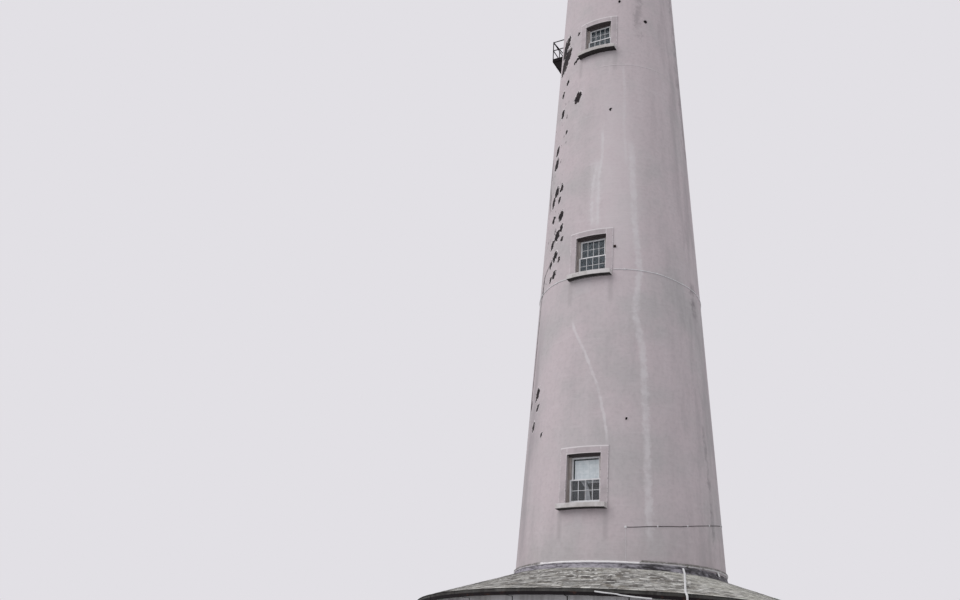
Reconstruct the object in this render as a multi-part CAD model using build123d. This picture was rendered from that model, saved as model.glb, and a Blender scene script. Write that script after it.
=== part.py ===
from build123d import *
import os
from math import atan, cos, degrees, radians, sin, sqrt, tan

# A round rendered lighthouse tower with a ring building at its foot.
# Millimetres. The origin is on the tower's axis at the ground. The tower's windows face -Y.
# An azimuth is in degrees: 0 faces -Y, 90 faces +X, 180 faces +Y, -90 faces -X.
# Round walls are built of narrow flat strips, in line with each other from the ground to the gallery.
# A radius is measured to the middle of a strip.

# Strips in a full turn
round_sides = 60
bore_sides = 40

# Tower shaft
tower_base_radius = 3445
tower_batter = 0.0491
tower_wall_top = 28600
foot_wall_thickness = 1995
floor_ledge = 50
floor_thickness = 180
floor_rim_gap = 4
floor_below_sill = 950

# Tower windows, from the lowest up: underside of the sill, head of the opening, width of the opening
window_1_sill = 5770
window_1_head = 7445
window_1_width = 1090
window_2_sill = 13410
window_2_head = 15000
window_2_width = 1070
window_3_sill = 22930
window_3_head = 24390
window_3_width = 1010
sill_height = 180
sill_projection = 240
sill_weathering = 30
sill_overhang = 220
surround_width = 225
surround_relief = 28
window_setback = 205
embrasure_splay = 150

# Sash windows
frame_depth = 170
frame_side = 45
frame_upper_side = 90
frame_head = 60
frame_foot = 50
sash_thickness = 45
sash_stile = 50
sash_foot_rail = 75
sash_meeting_rail = 40
sash_clearance = 2
sash_front_step = 10
glass_thickness = 6

# Balcony on the left side
balcony_azimuth = -90
balcony_level = 24770
balcony_width = 1240
balcony_projection = 400
balcony_slab = 150
balcony_rail_height = 870
balcony_bar = 28
bracket_drop = 560
bracket_thickness = 24
bracket_count = 3
balcony_door_width = 700
balcony_door_height = 1750
balcony_door_setback = 200
door_leaf = 50
door_frame_bar = 80

# Ring building
eave_radius = 6190
eave_overhang = 290
annex_wall_thickness = 500
eave_height = 3150
roof_top_height = 4110
roof_thickness = 80
annex_bays = 6
annex_window_width = 900
annex_window_sill = 950
annex_window_springing = 2050
annex_arch_rise = 120
annex_window_setback = 150
annex_sill_height = 120
annex_sill_projection = 50
annex_frame_bar = 60
annex_frame_depth = 90
annex_door_width = 1000
annex_door_springing = 2150
inner_doorway_width = 900
inner_doorway_height = 2050

# Roof details
flashing_upstand = 170
flashing_thickness = 22
flashing_apron = 170
gutter_sides = 48
gutter_width = 110
gutter_depth = 75
gutter_wall = 8
conduit_top_azimuth = 51.5
conduit_foot_azimuth = 35.3
conduit_size = 60

# Cornice and gallery
cornice_overhang = 60
cornice_foot = 120
cornice_sweep = 380
cornice_radius = 2700
cornice_face = 100
deck_radius = 2830
deck_thickness = 140
gallery_rail_radius = 2740
gallery_posts = 20
gallery_rail_height = 1050
gallery_post_size = 32
gallery_rail_depth = 34
gallery_rail_rows = 3

# Lantern
lantern_sides = 12
lantern_wall_radius = 1700
lantern_wall_thickness = 220
lantern_wall_height = 1900
lantern_glazing_height = 2000
lantern_frame_corner = 1640
lantern_frame_thickness = 60
lantern_bar = 50
lantern_glass_thickness = 12
lantern_door_azimuth = -90
lantern_door_width = 650
lantern_door_height = 1600
lantern_door_thickness = 45
lantern_door_setback = 60
roof_eave_overhang = 130
roof_gutter_height = 160
dome_height = 1150
dome_shell = 40
dome_steps = 4
dome_crown = 0.94
vent_sides = 16
vent_radius = 260
vent_neck_height = 140
rod_sides = 8
rod_radius = 22
rod_length = 1400

# Levels and radii that follow from the sizes above
window_rows = [
    (window_1_sill, window_1_head, window_1_width),
    (window_2_sill, window_2_head, window_2_width),
    (window_3_sill, window_3_head, window_3_width),
]
window_azimuths = [0, 180]
floor_levels = [sill + sill_height - floor_below_sill for sill, head, width in window_rows]
floor_levels.append(balcony_level)
tier_joints = [0] + [level - floor_thickness for level in floor_levels] + [tower_wall_top]
tier_count = len(tier_joints) - 1
tier_bores = [tower_base_radius - foot_wall_thickness + floor_ledge * tier for tier in range(tier_count)]
annex_wall_radius = eave_radius - eave_overhang
annex_inner_radius = annex_wall_radius - annex_wall_thickness
annex_step = 360 / annex_bays
flashing_top = roof_top_height + flashing_upstand
cornice_top = tower_wall_top + cornice_foot + cornice_sweep + cornice_face
deck_top = cornice_top + deck_thickness
lantern_wall_top = deck_top + lantern_wall_height
lantern_head = lantern_wall_top + lantern_glazing_height
lantern_frame_radius = lantern_frame_corner * cos(radians(180 / lantern_sides))
lantern_gutter_top = lantern_head + roof_gutter_height
dome_top = lantern_gutter_top + dome_height
reach = 2 * eave_radius


# Shapes that everything is made from

def shaft_radius(height):
    """Outside radius of the tower at a height."""
    return tower_base_radius - tower_batter * height


roof_slope = (roof_top_height - eave_height) / (eave_radius - shaft_radius(roof_top_height))


def roof_surface(radius):
    """Height of the ring roof's slates at a radius."""
    return eave_height + roof_slope * (eave_radius - radius)


def roof_underside(radius):
    return roof_surface(radius) - roof_thickness


def drum(low, high, low_radius, high_radius=None, sides=round_sides):
    """Upright solid of flat strips, one facing -Y. It tapers if the two radii differ."""
    height = high - low
    if high_radius is None:
        high_radius = low_radius
    if high_radius > low_radius:
        return Pos(0, 0, low + high) * Rot(180, 0, 0) * drum(low, high, high_radius, low_radius, sides)
    outline = Rot(0, 0, 180 / sides) * RegularPolygon(low_radius, sides, major_radius=False)
    taper = degrees(atan((low_radius - high_radius) / height))
    return extrude(Pos(0, 0, low) * outline, height, taper=taper)


def tube(low, high, outer, inner, sides=round_sides):
    return drum(low, high, outer, sides=sides) - drum(low, high, inner, sides=sides)


def shaft_body(low, high, relief=0):
    """Solid of the tower's outside between two heights, grown by the relief."""
    return drum(low, high, shaft_radius(low) + relief, shaft_radius(high) + relief)


def roof_body(drop=0):
    """Everything under the plane of the slates, lowered by the drop."""
    outer = eave_radius + gutter_width * 2
    inner = shaft_radius(flashing_top) - floor_ledge
    foot = roof_surface(outer) - drop
    return drum(0, foot, outer) + drum(foot, roof_surface(inner) - drop, outer, inner)


def facing(shape, azimuth):
    return Rot(0, 0, azimuth) * shape


def block(width, near, far, low, high, x=0):
    """Box in front of the axis: near and far are distances from the axis towards -Y."""
    return Pos(x, -(near + far) / 2, (low + high) / 2) * Box(width, far - near, high - low)


def sector(first, last, low, high):
    """Wedge of space between two azimuths."""
    turns = [radians(azimuth) for azimuth in (first, (first + last) / 2, last)]
    rim = [(reach * sin(turn), -reach * cos(turn)) for turn in turns]
    outline = make_face(Polyline((0, 0), *rim, close=True))
    return extrude(Pos(0, 0, low) * outline, high - low)


def arched_block(width, near, far, low, springing, rise):
    """Prism with a segmental arch on top, in front of the axis, between two distances from it."""
    half = width / 2
    outline = [
        Line((-half, springing), (-half, low)),
        Line((-half, low), (half, low)),
        Line((half, low), (half, springing)),
        ThreePointArc((half, springing), (0, springing + rise), (-half, springing)),
    ]
    return Pos(0, -near, 0) * extrude(Plane.XZ * make_face(outline), far - near)


# Tower wall

def window_plane(sill, head):
    """Distance from the axis to the front of the window frame."""
    return shaft_radius((sill + sill_height + head) / 2) - window_setback


def wall_opening(width, low, high, frame_front, bore):
    """Cut through the wall: straight in front of the frame's back, splayed behind it."""
    outside = tower_base_radius + sill_projection
    back = frame_front - frame_depth
    inside = bore / 2
    spread = embrasure_splay * (back - inside) / (back - bore)
    half = width / 2
    plan = make_face(Polyline(
        (-half, -outside), (half, -outside), (half, -back),
        (half + spread, -inside), (-half - spread, -inside), (-half, -back), close=True))
    return Pos(0, 0, low) * extrude(plan, high - low)


def tier_of(height):
    """Number of the tier that a height lies in."""
    return max(tier for tier in range(tier_count) if tier_joints[tier] <= height)


def tower_wall(tier):
    """Two halves of one tier: front and back, or left and right round the balcony's doorway."""
    low = tier_joints[tier]
    high = tier_joints[tier + 1]
    bore = tier_bores[tier]
    ring = shaft_body(low, high) - drum(low, high, bore, sides=bore_sides)
    for sill, head, width in window_rows:
        if tier_of(sill) == tier:
            for azimuth in window_azimuths:
                ring -= facing(wall_opening(width, sill, head, window_plane(sill, head), bore), azimuth)
    if tier == 0:
        ring -= block(inner_doorway_width, 0, tower_base_radius, low, inner_doorway_height)
    if tier_of(balcony_level) == tier:
        doorway = block(balcony_door_width, bore / 2, tower_base_radius, balcony_level,
                        balcony_level + balcony_door_height)
        ring -= facing(doorway, balcony_azimuth)
        return {"left": ring & sector(-180, 0, low, high), "right": ring & sector(0, 180, low, high)}
    return {"front": ring & sector(-90, 90, low, high), "back": ring & sector(90, 270, low, high)}


def tower_floor(tier):
    """Floor that rests on the ledge at the top of the tier below."""
    low = tier_joints[tier]
    return drum(low, low + floor_thickness, tier_bores[tier] - floor_rim_gap, sides=bore_sides)


# Tower windows

def window_surround(sill, head, width):
    """Raised band down both sides of the opening and over its head."""
    low = sill + sill_height
    high = head + surround_width
    band = shaft_body(low, high, surround_relief) & block(width + 2 * surround_width, 0, reach, low, high)
    return band - shaft_body(low, high) - block(width, 0, reach, low, head)


def window_sill(sill, head, width):
    """Sill block: it fills the foot of the opening and laps the wall on both sides."""
    top = sill + sill_height
    bevel = top - sill_weathering
    nose = shaft_radius(sill) + sill_projection
    lap = drum(sill, bevel, nose) + drum(bevel, top, nose, shaft_radius(top) + surround_relief)
    lap = lap & block(width + 2 * sill_overhang, 0, reach, sill, top)
    lap -= shaft_body(sill, top)
    back = window_plane(sill, head) - frame_depth
    bed = block(width, back, shaft_radius(sill), sill, top) & shaft_body(sill, top)
    return lap + bed


def sash(width, low, high, front, foot_rail, head_rail):
    """One sash and its pane."""
    back = front - sash_thickness
    hole_width = width - 2 * sash_stile
    wood = block(width, back, front, low, high)
    wood -= block(hole_width, back, front, low + foot_rail, high - head_rail)
    middle = (front + back) / 2
    pane = block(hole_width, middle - glass_thickness / 2, middle + glass_thickness / 2,
                 low + foot_rail, high - head_rail)
    return wood, pane


def sash_window(sill, head, width):
    """Box frame with the lower sash in front and the upper sash behind it."""
    front = window_plane(sill, head)
    low = sill + sill_height
    foot = low + frame_foot
    top = head - frame_head
    middle = (foot + top) / 2
    lower_top = middle + sash_meeting_rail / 2
    upper_low = middle - sash_meeting_rail / 2
    lower_front = front - sash_front_step
    lower_back = lower_front - sash_thickness - sash_clearance
    frame = block(width, front - frame_depth, front, low, head)
    frame -= block(width - 2 * frame_upper_side, front - frame_depth, front, foot, top)
    frame -= block(width - 2 * frame_side, lower_back, front, foot, lower_top + sash_clearance)
    lower, lower_pane = sash(width - 2 * frame_side - 2 * sash_clearance, foot, lower_top,
                             lower_front, sash_foot_rail, sash_meeting_rail)
    upper, upper_pane = sash(width - 2 * frame_upper_side, upper_low, top,
                             lower_back - sash_clearance, sash_meeting_rail, sash_stile)
    return frame, lower, upper, [lower_pane, upper_pane]


# Balcony

def balcony_platform():
    front = shaft_radius(balcony_level) + balcony_projection
    low = balcony_level - balcony_slab
    return block(balcony_width, 0, front, low, balcony_level) - shaft_body(low, balcony_level)


def balcony_brackets():
    """Triangular plates under the platform, set evenly across its width."""
    wall = shaft_radius(balcony_level)
    arm = wall + balcony_projection - balcony_bar
    high = balcony_level - balcony_slab
    low = high - bracket_drop
    triangle = Plane.YZ * make_face(Polyline((-arm, high), (0, high), (0, low), (-wall, low), close=True))
    plate = Pos(-bracket_thickness / 2, 0, 0) * extrude(triangle, bracket_thickness)
    span = balcony_width - 2 * balcony_bar - bracket_thickness
    offsets = [span * (number / (bracket_count - 1) - 0.5) for number in range(bracket_count)]
    return [Pos(offset, 0, 0) * plate - shaft_body(low, high) for offset in offsets]


def balcony_railing():
    """Posts at the front, two rails round three sides, and a brace on each side."""
    bar = balcony_bar
    low = balcony_level
    high = low + balcony_rail_height
    front = shaft_radius(low) + balcony_projection
    edge = (balcony_width - bar) / 2
    rails = [high - bar, (low + high - bar) / 2]
    railing = [block(balcony_width, front - bar, front, rail, rail + bar) for rail in rails]
    railing += [block(bar, front - bar, front, low, high, x) for x in (-edge, 0, edge)]
    wall_at_side = sqrt(shaft_radius(high) ** 2 - (balcony_width / 2) ** 2)
    brace = Plane.YZ * make_face(Polyline(
        (-front, high), (-front, high - 2 * bar), (-wall_at_side, low),
        (-wall_at_side, low + 2 * bar), (-front + bar, high), close=True))
    for x in (-edge, edge):
        railing += [block(bar, 0, front, rail, rail + bar, x) for rail in rails]
        railing.append(Pos(x - bar / 2, 0, 0) * extrude(brace, bar))
    return sum(railing[1:], railing[0]) - shaft_body(low, high)


def balcony_door():
    """Frame and leaf, facing -Y."""
    low = balcony_level
    high = low + balcony_door_height
    front = shaft_radius(low) - balcony_door_setback
    clear = balcony_door_width - 2 * door_frame_bar
    frame = block(balcony_door_width, front - frame_depth, front, low, high)
    frame -= block(clear, front - frame_depth, front, low, high - door_frame_bar)
    leaf_front = front - frame_depth / 2
    leaf = block(clear, leaf_front - door_leaf, leaf_front, low, high - door_frame_bar)
    return frame, leaf


# Ring building

def annex_wall(bay):
    """One bay of the wall, with a doorway in the front bay and a window in the others."""
    azimuth = bay * annex_step
    top = roof_underside(annex_inner_radius)
    wall = tube(0, top, annex_wall_radius, annex_inner_radius) & roof_body(roof_thickness)
    wall = wall & sector(azimuth - annex_step / 2, azimuth + annex_step / 2, 0, top)
    if bay == 0:
        cut = arched_block(annex_door_width, 0, reach, 0, annex_door_springing, annex_arch_rise)
    else:
        cut = arched_block(annex_window_width, 0, reach, annex_window_sill, annex_window_springing,
                           annex_arch_rise)
    return wall - facing(cut, azimuth)


def annex_window():
    """Frame, sill and panes of one arched window, facing -Y."""
    front = sqrt(annex_wall_radius ** 2 - (annex_window_width / 2) ** 2) - annex_window_setback
    back = front - annex_frame_depth
    low = annex_window_sill + annex_sill_height
    inner_width = annex_window_width - 2 * annex_frame_bar
    inner_low = low + annex_frame_bar
    inner_springing = annex_window_springing - annex_frame_bar
    middle = (low + annex_window_springing) / 2
    half_bar = annex_frame_bar / 2
    meeting_rail = block(inner_width, back, front, middle - half_bar, middle + half_bar)
    frame = arched_block(annex_window_width, back, front, low, annex_window_springing, annex_arch_rise)
    frame -= arched_block(inner_width, back, front, inner_low, inner_springing, annex_arch_rise)
    frame += meeting_rail
    centre = (front + back) / 2
    pane = arched_block(inner_width, centre - glass_thickness / 2, centre + glass_thickness / 2,
                        inner_low, inner_springing, annex_arch_rise)
    sill = block(annex_window_width, annex_inner_radius, annex_wall_radius + annex_sill_projection,
                 annex_window_sill, low)
    return frame, sill, (pane - meeting_rail).solids()


def annex_door():
    """Arched frame and leaf, facing -Y."""
    front = sqrt(annex_wall_radius ** 2 - (annex_door_width / 2) ** 2) - annex_window_setback
    back = front - annex_frame_depth
    clear = annex_door_width - 2 * door_frame_bar
    springing = annex_door_springing - door_frame_bar
    frame = arched_block(annex_door_width, back, front, 0, annex_door_springing, annex_arch_rise)
    frame -= arched_block(clear, back, front, 0, springing, annex_arch_rise)
    leaf_front = (front + back + door_leaf) / 2
    leaf = arched_block(clear, leaf_front - door_leaf, leaf_front, 0, springing, annex_arch_rise)
    return frame, leaf


def annex_roof():
    """Ring of slated roof with a square-cut eave, from the wall to the tower."""
    low = eave_height - 2 * roof_thickness
    roof = drum(low, flashing_top, eave_radius) & roof_body()
    return roof - roof_body(roof_thickness) - shaft_body(low, flashing_top)


def roof_flashing():
    """Lead upstand against the tower and apron over the top slates."""
    inner = shaft_radius(roof_top_height)
    fold = inner + 2 * flashing_thickness
    lap = inner + flashing_apron
    low = eave_height
    fold_height = roof_surface(fold) + 2 * flashing_thickness
    lap_height = roof_surface(lap) + flashing_thickness / 2
    lead = drum(low, lap_height, lap) + drum(lap_height, fold_height, lap, fold)
    lead += drum(fold_height, flashing_top, fold, shaft_radius(flashing_top) + flashing_thickness)
    return lead - roof_body() - shaft_body(low, flashing_top)


def roof_gutter():
    """Gutter of short straight lengths, hung under the edge of the slates."""
    outer = eave_radius + gutter_width / 2
    inner = outer - gutter_width
    eave = roof_underside(eave_radius)
    low = eave - gutter_depth
    channel = tube(low, eave, outer, inner, gutter_sides)
    channel -= tube(low + gutter_wall, eave, outer - gutter_wall, inner + gutter_wall, gutter_sides)
    back = tube(low, roof_underside(inner), inner + gutter_wall, inner, gutter_sides)
    return channel + (back & roof_body(roof_thickness))


def roof_conduit():
    """Square conduit that lies on the slates, slantwise from the flashing to the eave."""
    lap = shaft_radius(roof_top_height) + flashing_apron
    start = Vector(0, -lap - conduit_size / 2).rotate(Axis.Z, conduit_top_azimuth)
    end = Vector(0, -eave_radius * cos(radians(180 / round_sides))).rotate(Axis.Z, conduit_foot_azimuth)
    run = Polyline(start, end)
    strip = extrude(Pos(0, 0, eave_height - conduit_size) * trace(run, conduit_size), roof_top_height)
    return (strip & roof_body(-conduit_size)) - roof_body()


# Cornice, gallery and lantern

def cornice():
    """Moulded ring that carries the gallery: a plain foot, a hollow sweep and an upright face."""
    foot = shaft_radius(tower_wall_top) + cornice_overhang
    bend = foot + (cornice_radius - foot) * 0.3
    sweep_low = tower_wall_top + cornice_foot
    bend_height = sweep_low + cornice_sweep * 0.6
    sweep_top = sweep_low + cornice_sweep
    ring = drum(tower_wall_top, sweep_low, foot) + drum(sweep_low, bend_height, foot, bend)
    ring += drum(bend_height, sweep_top, bend, cornice_radius)
    ring += drum(sweep_top, cornice_top, cornice_radius)
    return ring - drum(tower_wall_top, cornice_top, tier_bores[-1], sides=bore_sides)


def gallery_railing():
    """Posts, and flat rails that run straight from post to post."""
    radius = gallery_rail_radius * cos(radians(180 / gallery_posts))
    half = gallery_post_size / 4
    spacing = gallery_rail_height / gallery_rail_rows
    heights = [deck_top + spacing * (row + 1) for row in range(gallery_rail_rows)]
    pieces = [tube(high - gallery_rail_depth, high, radius + half, radius - half, gallery_posts)
              for high in heights]
    size = gallery_post_size
    post = block(size, gallery_rail_radius - size / 2, gallery_rail_radius + size / 2,
                 deck_top, heights[-1])
    pieces += [facing(post, (number + 0.5) * 360 / gallery_posts) for number in range(gallery_posts)]
    return sum(pieces[1:], pieces[0])


def lantern_wall():
    inner = lantern_wall_radius - lantern_wall_thickness
    wall = tube(deck_top, lantern_wall_top, lantern_wall_radius, inner, bore_sides)
    cut = block(lantern_door_width, 0, reach, deck_top, deck_top + lantern_door_height)
    return wall - facing(cut, lantern_door_azimuth)


def lantern_door():
    edge = sqrt(lantern_wall_radius ** 2 - (lantern_door_width / 2) ** 2)
    front = edge - lantern_door_setback
    leaf = block(lantern_door_width, front - lantern_door_thickness, front, deck_top,
                 deck_top + lantern_door_height)
    return facing(leaf, lantern_door_azimuth)


def lantern_frame():
    """Flat-sided glazing frame with two panes cut in each side."""
    low = lantern_wall_top
    outer = lantern_frame_radius
    inner = outer - lantern_frame_thickness
    frame = tube(low, lantern_head, outer, inner, lantern_sides)
    pane_width = 2 * outer * tan(radians(180 / lantern_sides)) - 2 * lantern_bar
    middle = (low + lantern_head) / 2
    for side in range(lantern_sides):
        for pane_low, pane_high in ((low, middle), (middle, lantern_head)):
            cut = block(pane_width, inner - lantern_bar, outer + lantern_bar,
                        pane_low + lantern_bar, pane_high - lantern_bar)
            frame -= facing(cut, side * 360 / lantern_sides)
    return frame


def lantern_glass():
    outer = lantern_frame_radius - lantern_frame_thickness
    return tube(lantern_wall_top, lantern_head, outer, outer - lantern_glass_thickness, lantern_sides)


def dome_body(radius, rise):
    """Stack of tapering drums that follows a quarter round, flat on top."""
    shares = [step / dome_steps for step in range(dome_steps + 1)]
    radii = [radius * sqrt(1 - (dome_crown * share) ** 2) for share in shares]
    levels = [lantern_gutter_top + rise * share for share in shares]
    steps = zip(levels, levels[1:], radii, radii[1:])
    drums = [drum(low, high, near, far, lantern_sides) for low, high, near, far in steps]
    return sum(drums[1:], drums[0])


def lantern_roof():
    """Gutter ring and domed shell over the glazing."""
    outer = lantern_frame_radius
    inner = outer - lantern_frame_thickness
    ring = tube(lantern_head, lantern_gutter_top, outer + roof_eave_overhang, inner, lantern_sides)
    return ring + (dome_body(outer, dome_height) - dome_body(inner, dome_height - dome_shell))


def roof_vent():
    """Neck, ball vent and rod on top of the dome. The ball is a stack of tapering drums."""
    neck = drum(dome_top, dome_top + vent_neck_height, vent_radius / 2, sides=vent_sides)
    centre = dome_top + vent_neck_height + vent_radius * 0.8
    turns = [radians(angle) for angle in (-60, -30, 0, 30, 60)]
    radii = [vent_radius * cos(turn) for turn in turns]
    levels = [centre + vent_radius * sin(turn) for turn in turns]
    steps = zip(levels, levels[1:], radii, radii[1:])
    ball = [drum(low, high, near, far, vent_sides) for low, high, near, far in steps]
    rod = drum(centre, centre + vent_radius + rod_length, rod_radius, sides=rod_sides)
    return sum(ball, neck) + rod


# Writing one file for each named piece

def save(name, *pieces):
    solids = [solid for piece in pieces for solid in piece.solids()]
    shape = solids[0] if len(solids) == 1 else Compound(children=solids)
    export_step(shape, f"parts/{name}.step")


def save_tower():
    for tier in range(tier_count):
        for side, wall in tower_wall(tier).items():
            save(f"tower_wall_{tier + 1}_{side}", wall)
    save("tower_floors", *[tower_floor(tier) for tier in range(1, tier_count)])


def save_windows():
    surrounds, sills, frames, lowers, uppers, panes = [], [], [], [], [], []
    for sill, head, width in window_rows:
        frame, lower, upper, glass = sash_window(sill, head, width)
        for azimuth in window_azimuths:
            surrounds.append(facing(window_surround(sill, head, width), azimuth))
            sills.append(facing(window_sill(sill, head, width), azimuth))
            frames.append(facing(frame, azimuth))
            lowers.append(facing(lower, azimuth))
            uppers.append(facing(upper, azimuth))
            panes += [facing(pane, azimuth) for pane in glass]
    save("window_surrounds", *surrounds)
    save("window_sills", *sills)
    save("window_frames", *frames)
    save("lower_sashes", *lowers)
    save("upper_sashes", *uppers)
    save("window_glass", *panes)


def save_balcony():
    frame, leaf = balcony_door()
    save("balcony_platform", facing(balcony_platform(), balcony_azimuth))
    save("balcony_brackets", *[facing(bracket, balcony_azimuth) for bracket in balcony_brackets()])
    save("balcony_railing", facing(balcony_railing(), balcony_azimuth))
    save("balcony_door_frame", facing(frame, balcony_azimuth))
    save("balcony_door", facing(leaf, balcony_azimuth))


def save_ring_building():
    for bay, name in enumerate(["front", "front_right", "back_right", "back", "back_left", "front_left"]):
        save(f"annex_wall_{name}", annex_wall(bay))
    roof = annex_roof()
    save("annex_roof_front", roof & sector(-90, 90, 0, flashing_top))
    save("annex_roof_back", roof & sector(90, 270, 0, flashing_top))
    save("roof_flashing", roof_flashing())
    save("roof_gutter", roof_gutter())
    save("roof_conduit", roof_conduit())
    frame, sill, panes = annex_window()
    turns = [bay * annex_step for bay in range(1, annex_bays)]
    save("annex_window_frames", *[facing(frame, turn) for turn in turns])
    save("annex_sills", *[facing(sill, turn) for turn in turns])
    save("annex_glass", *[facing(pane, turn) for turn in turns for pane in panes])
    door_frame, leaf = annex_door()
    save("annex_door_frame", door_frame)
    save("annex_door", leaf)


def save_top():
    save("cornice", cornice())
    save("gallery_deck", drum(cornice_top, deck_top, deck_radius))
    save("gallery_railing", gallery_railing())
    save("lantern_wall", lantern_wall())
    save("lantern_door", lantern_door())
    save("lantern_frame", lantern_frame())
    save("lantern_glass", lantern_glass())
    save("lantern_roof", lantern_roof())
    save("roof_vent", roof_vent())


os.makedirs("parts", exist_ok=True)
save_tower()
save_windows()
save_balcony()
save_ring_building()
save_top()
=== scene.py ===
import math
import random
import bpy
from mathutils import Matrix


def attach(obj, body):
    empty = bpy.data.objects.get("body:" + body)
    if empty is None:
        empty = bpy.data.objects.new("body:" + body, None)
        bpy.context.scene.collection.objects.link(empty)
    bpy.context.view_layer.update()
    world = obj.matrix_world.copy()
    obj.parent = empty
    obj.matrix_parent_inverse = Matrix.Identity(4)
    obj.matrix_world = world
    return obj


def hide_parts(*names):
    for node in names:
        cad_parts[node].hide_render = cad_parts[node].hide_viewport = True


bl_info = {
    "name": "Rendered lighthouse",
    "version": (1, 0, 0),
    "blender": (4, 5, 0),
    "location": "3D View > Sidebar > Lighthouse",
    "description": "Finishes and small parts of a rendered lighthouse with a slated ring building",
    "category": "Object",
}

import bmesh
import bpy
from bpy.props import FloatProperty, FloatVectorProperty, IntProperty, PointerProperty
from mathutils import Matrix, Vector, noise

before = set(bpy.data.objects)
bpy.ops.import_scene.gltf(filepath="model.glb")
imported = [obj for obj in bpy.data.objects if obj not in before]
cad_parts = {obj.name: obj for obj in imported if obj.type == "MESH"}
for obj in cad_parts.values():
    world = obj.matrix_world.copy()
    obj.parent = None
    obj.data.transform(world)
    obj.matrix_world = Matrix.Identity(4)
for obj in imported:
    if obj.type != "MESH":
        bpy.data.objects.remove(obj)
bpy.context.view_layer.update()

# Places taken from the solids, in metres. An azimuth of 0 faces -Y and grows toward +X.
SHAFT_FOOT = 3.445
BATTER = 0.0491
EAVE_RADIUS = 6.19
EAVE_HEIGHT = 3.150
ROOF_RISE = 0.32577
ROOF_TOP_RADIUS = 3.2432
WINDOWS = {
    1: {"width": 1.09, "sill": 5.77, "head": 7.445, "front": 2.9112},
    2: {"width": 1.07, "sill": 13.41, "head": 15.0, "front": 2.5381},
    3: {"width": 1.01, "sill": 22.93, "head": 24.39, "front": 2.0739},
}
SURROUND = 0.225
SILL_HEIGHT = 0.18
ANNEX_BAYS = (60, 120, 180, 240, 300)
LANTERN_FOOT = 29.34
DOME_SPRING = LANTERN_FOOT + 4.06


def tint(red, green, blue):
    """Linear colour of a paint chip that reads 0 to 255 in each channel."""
    chips = [channel / 255 for channel in (red, green, blue)]
    return tuple(c / 12.92 if c <= 0.04045 else ((c + 0.055) / 1.055) ** 2.4 for c in chips)


def size(label, text, default):
    return FloatProperty(name=label, description=text, default=default, min=0.001, max=2.0,
                         unit="LENGTH", precision=4)


def colour(label, text, *chip):
    return FloatVectorProperty(name=label, description=text, default=tint(*chip), min=0.0, max=1.0,
                               size=3, subtype="COLOR")


class LighthouseSizes(bpy.types.PropertyGroup):
    glazing_bar: size("Glazing bar", "Width of a bar between two panes", 0.018)
    slate_width: size("Slate width", "Mean width of a roof slate", 0.24)
    slate_thickness: size("Slate thickness", "Thickness of a roof slate", 0.009)
    slate_courses: IntProperty(name="Slate courses", description="Courses of slates from eave to tower",
                               default=15, min=4, max=40)
    pipe: size("Roof pipe", "Diameter of the pale pipe on the slates", 0.056)
    conductor: size("Conductor", "Diameter of the pale line round the tower", 0.026)
    cable: size("Cable", "Diameter of the dark line low on the tower", 0.016)
    door_board: size("Door board", "Width of a board of a door", 0.12)


class LighthouseColours(bpy.types.PropertyGroup):
    coat: colour("Render coat", "Painted render of the tower", 197, 186, 190)
    coat_cool: colour("Weathered coat", "Greyer patches of the coat", 184, 179, 181)
    runs: colour("Pale runs", "Lime runs down the coat", 214, 210, 213)
    bare: colour("Bare wall", "Wall where the coat has peeled away", 24, 19, 22)
    # Partly dirt and partly painted shade, laid in the window openings and on the box frames
    reveal: colour("Reveal", "Sides of the window openings", 150, 141, 137)
    # Painted shade with dirt on faces that point down: soffits, and the undersides of bands, sills and frames
    soffit: colour("Soffit", "Undersides of heads and sills", 72, 65, 66)
    slate: colour("Slate", "Roof slates", 160, 159, 156)
    # Also laid on the right side of the slates as a painted sky reflection
    lichen: colour("Lichen", "Pale growth on the slates", 206, 205, 196)
    lead: colour("Lead", "Flashing round the tower", 124, 123, 130)
    mortar: colour("Mortar", "Fillet above the flashing", 162, 158, 158)
    white_paint: colour("White paint", "Painted joinery", 222, 223, 226)
    wall_white: colour("Low wall", "Whitewashed wall of the ring building", 206, 205, 207)
    iron: colour("Iron", "Balcony, gutter and gallery railing", 22, 18, 20)
    rust: colour("Rust", "Rust on the iron", 68, 46, 38)
    door: colour("Door paint", "Doors", 58, 64, 70)
    glass: colour("Glass", "Window glass", 96, 108, 116)
    timber: colour("Timber", "Floor boards", 124, 99, 74)
    lantern: colour("Lantern paint", "Lantern wall, frame and dome", 202, 201, 205)
    pipe: colour("Pipe", "Pale pipe and conductor", 224, 224, 226)


class LighthouseStage(bpy.types.PropertyGroup):
    sky: FloatProperty(name="Sky light", description="Strength of the even light from all round",
                       default=0.67, min=0.0, max=3.0)
    sun: FloatProperty(name="Soft sun", description="Strength of the wide lamp from the left",
                       default=1.25, min=0.0, max=10.0)
    backdrop: colour("Backdrop", "Colour behind the lighthouse", 226, 224, 229)
    ground: colour("Floor", "Plain floor", 206, 205, 207)


# Shader expressions

def both_ways(operation):
    """A method for an operator, and its form for when the Amount stands on the right."""
    def plain(self, other):
        return self.maths(operation, self, other)

    def swapped(self, other):
        return self.maths(operation, other, self)

    return plain, swapped


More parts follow.
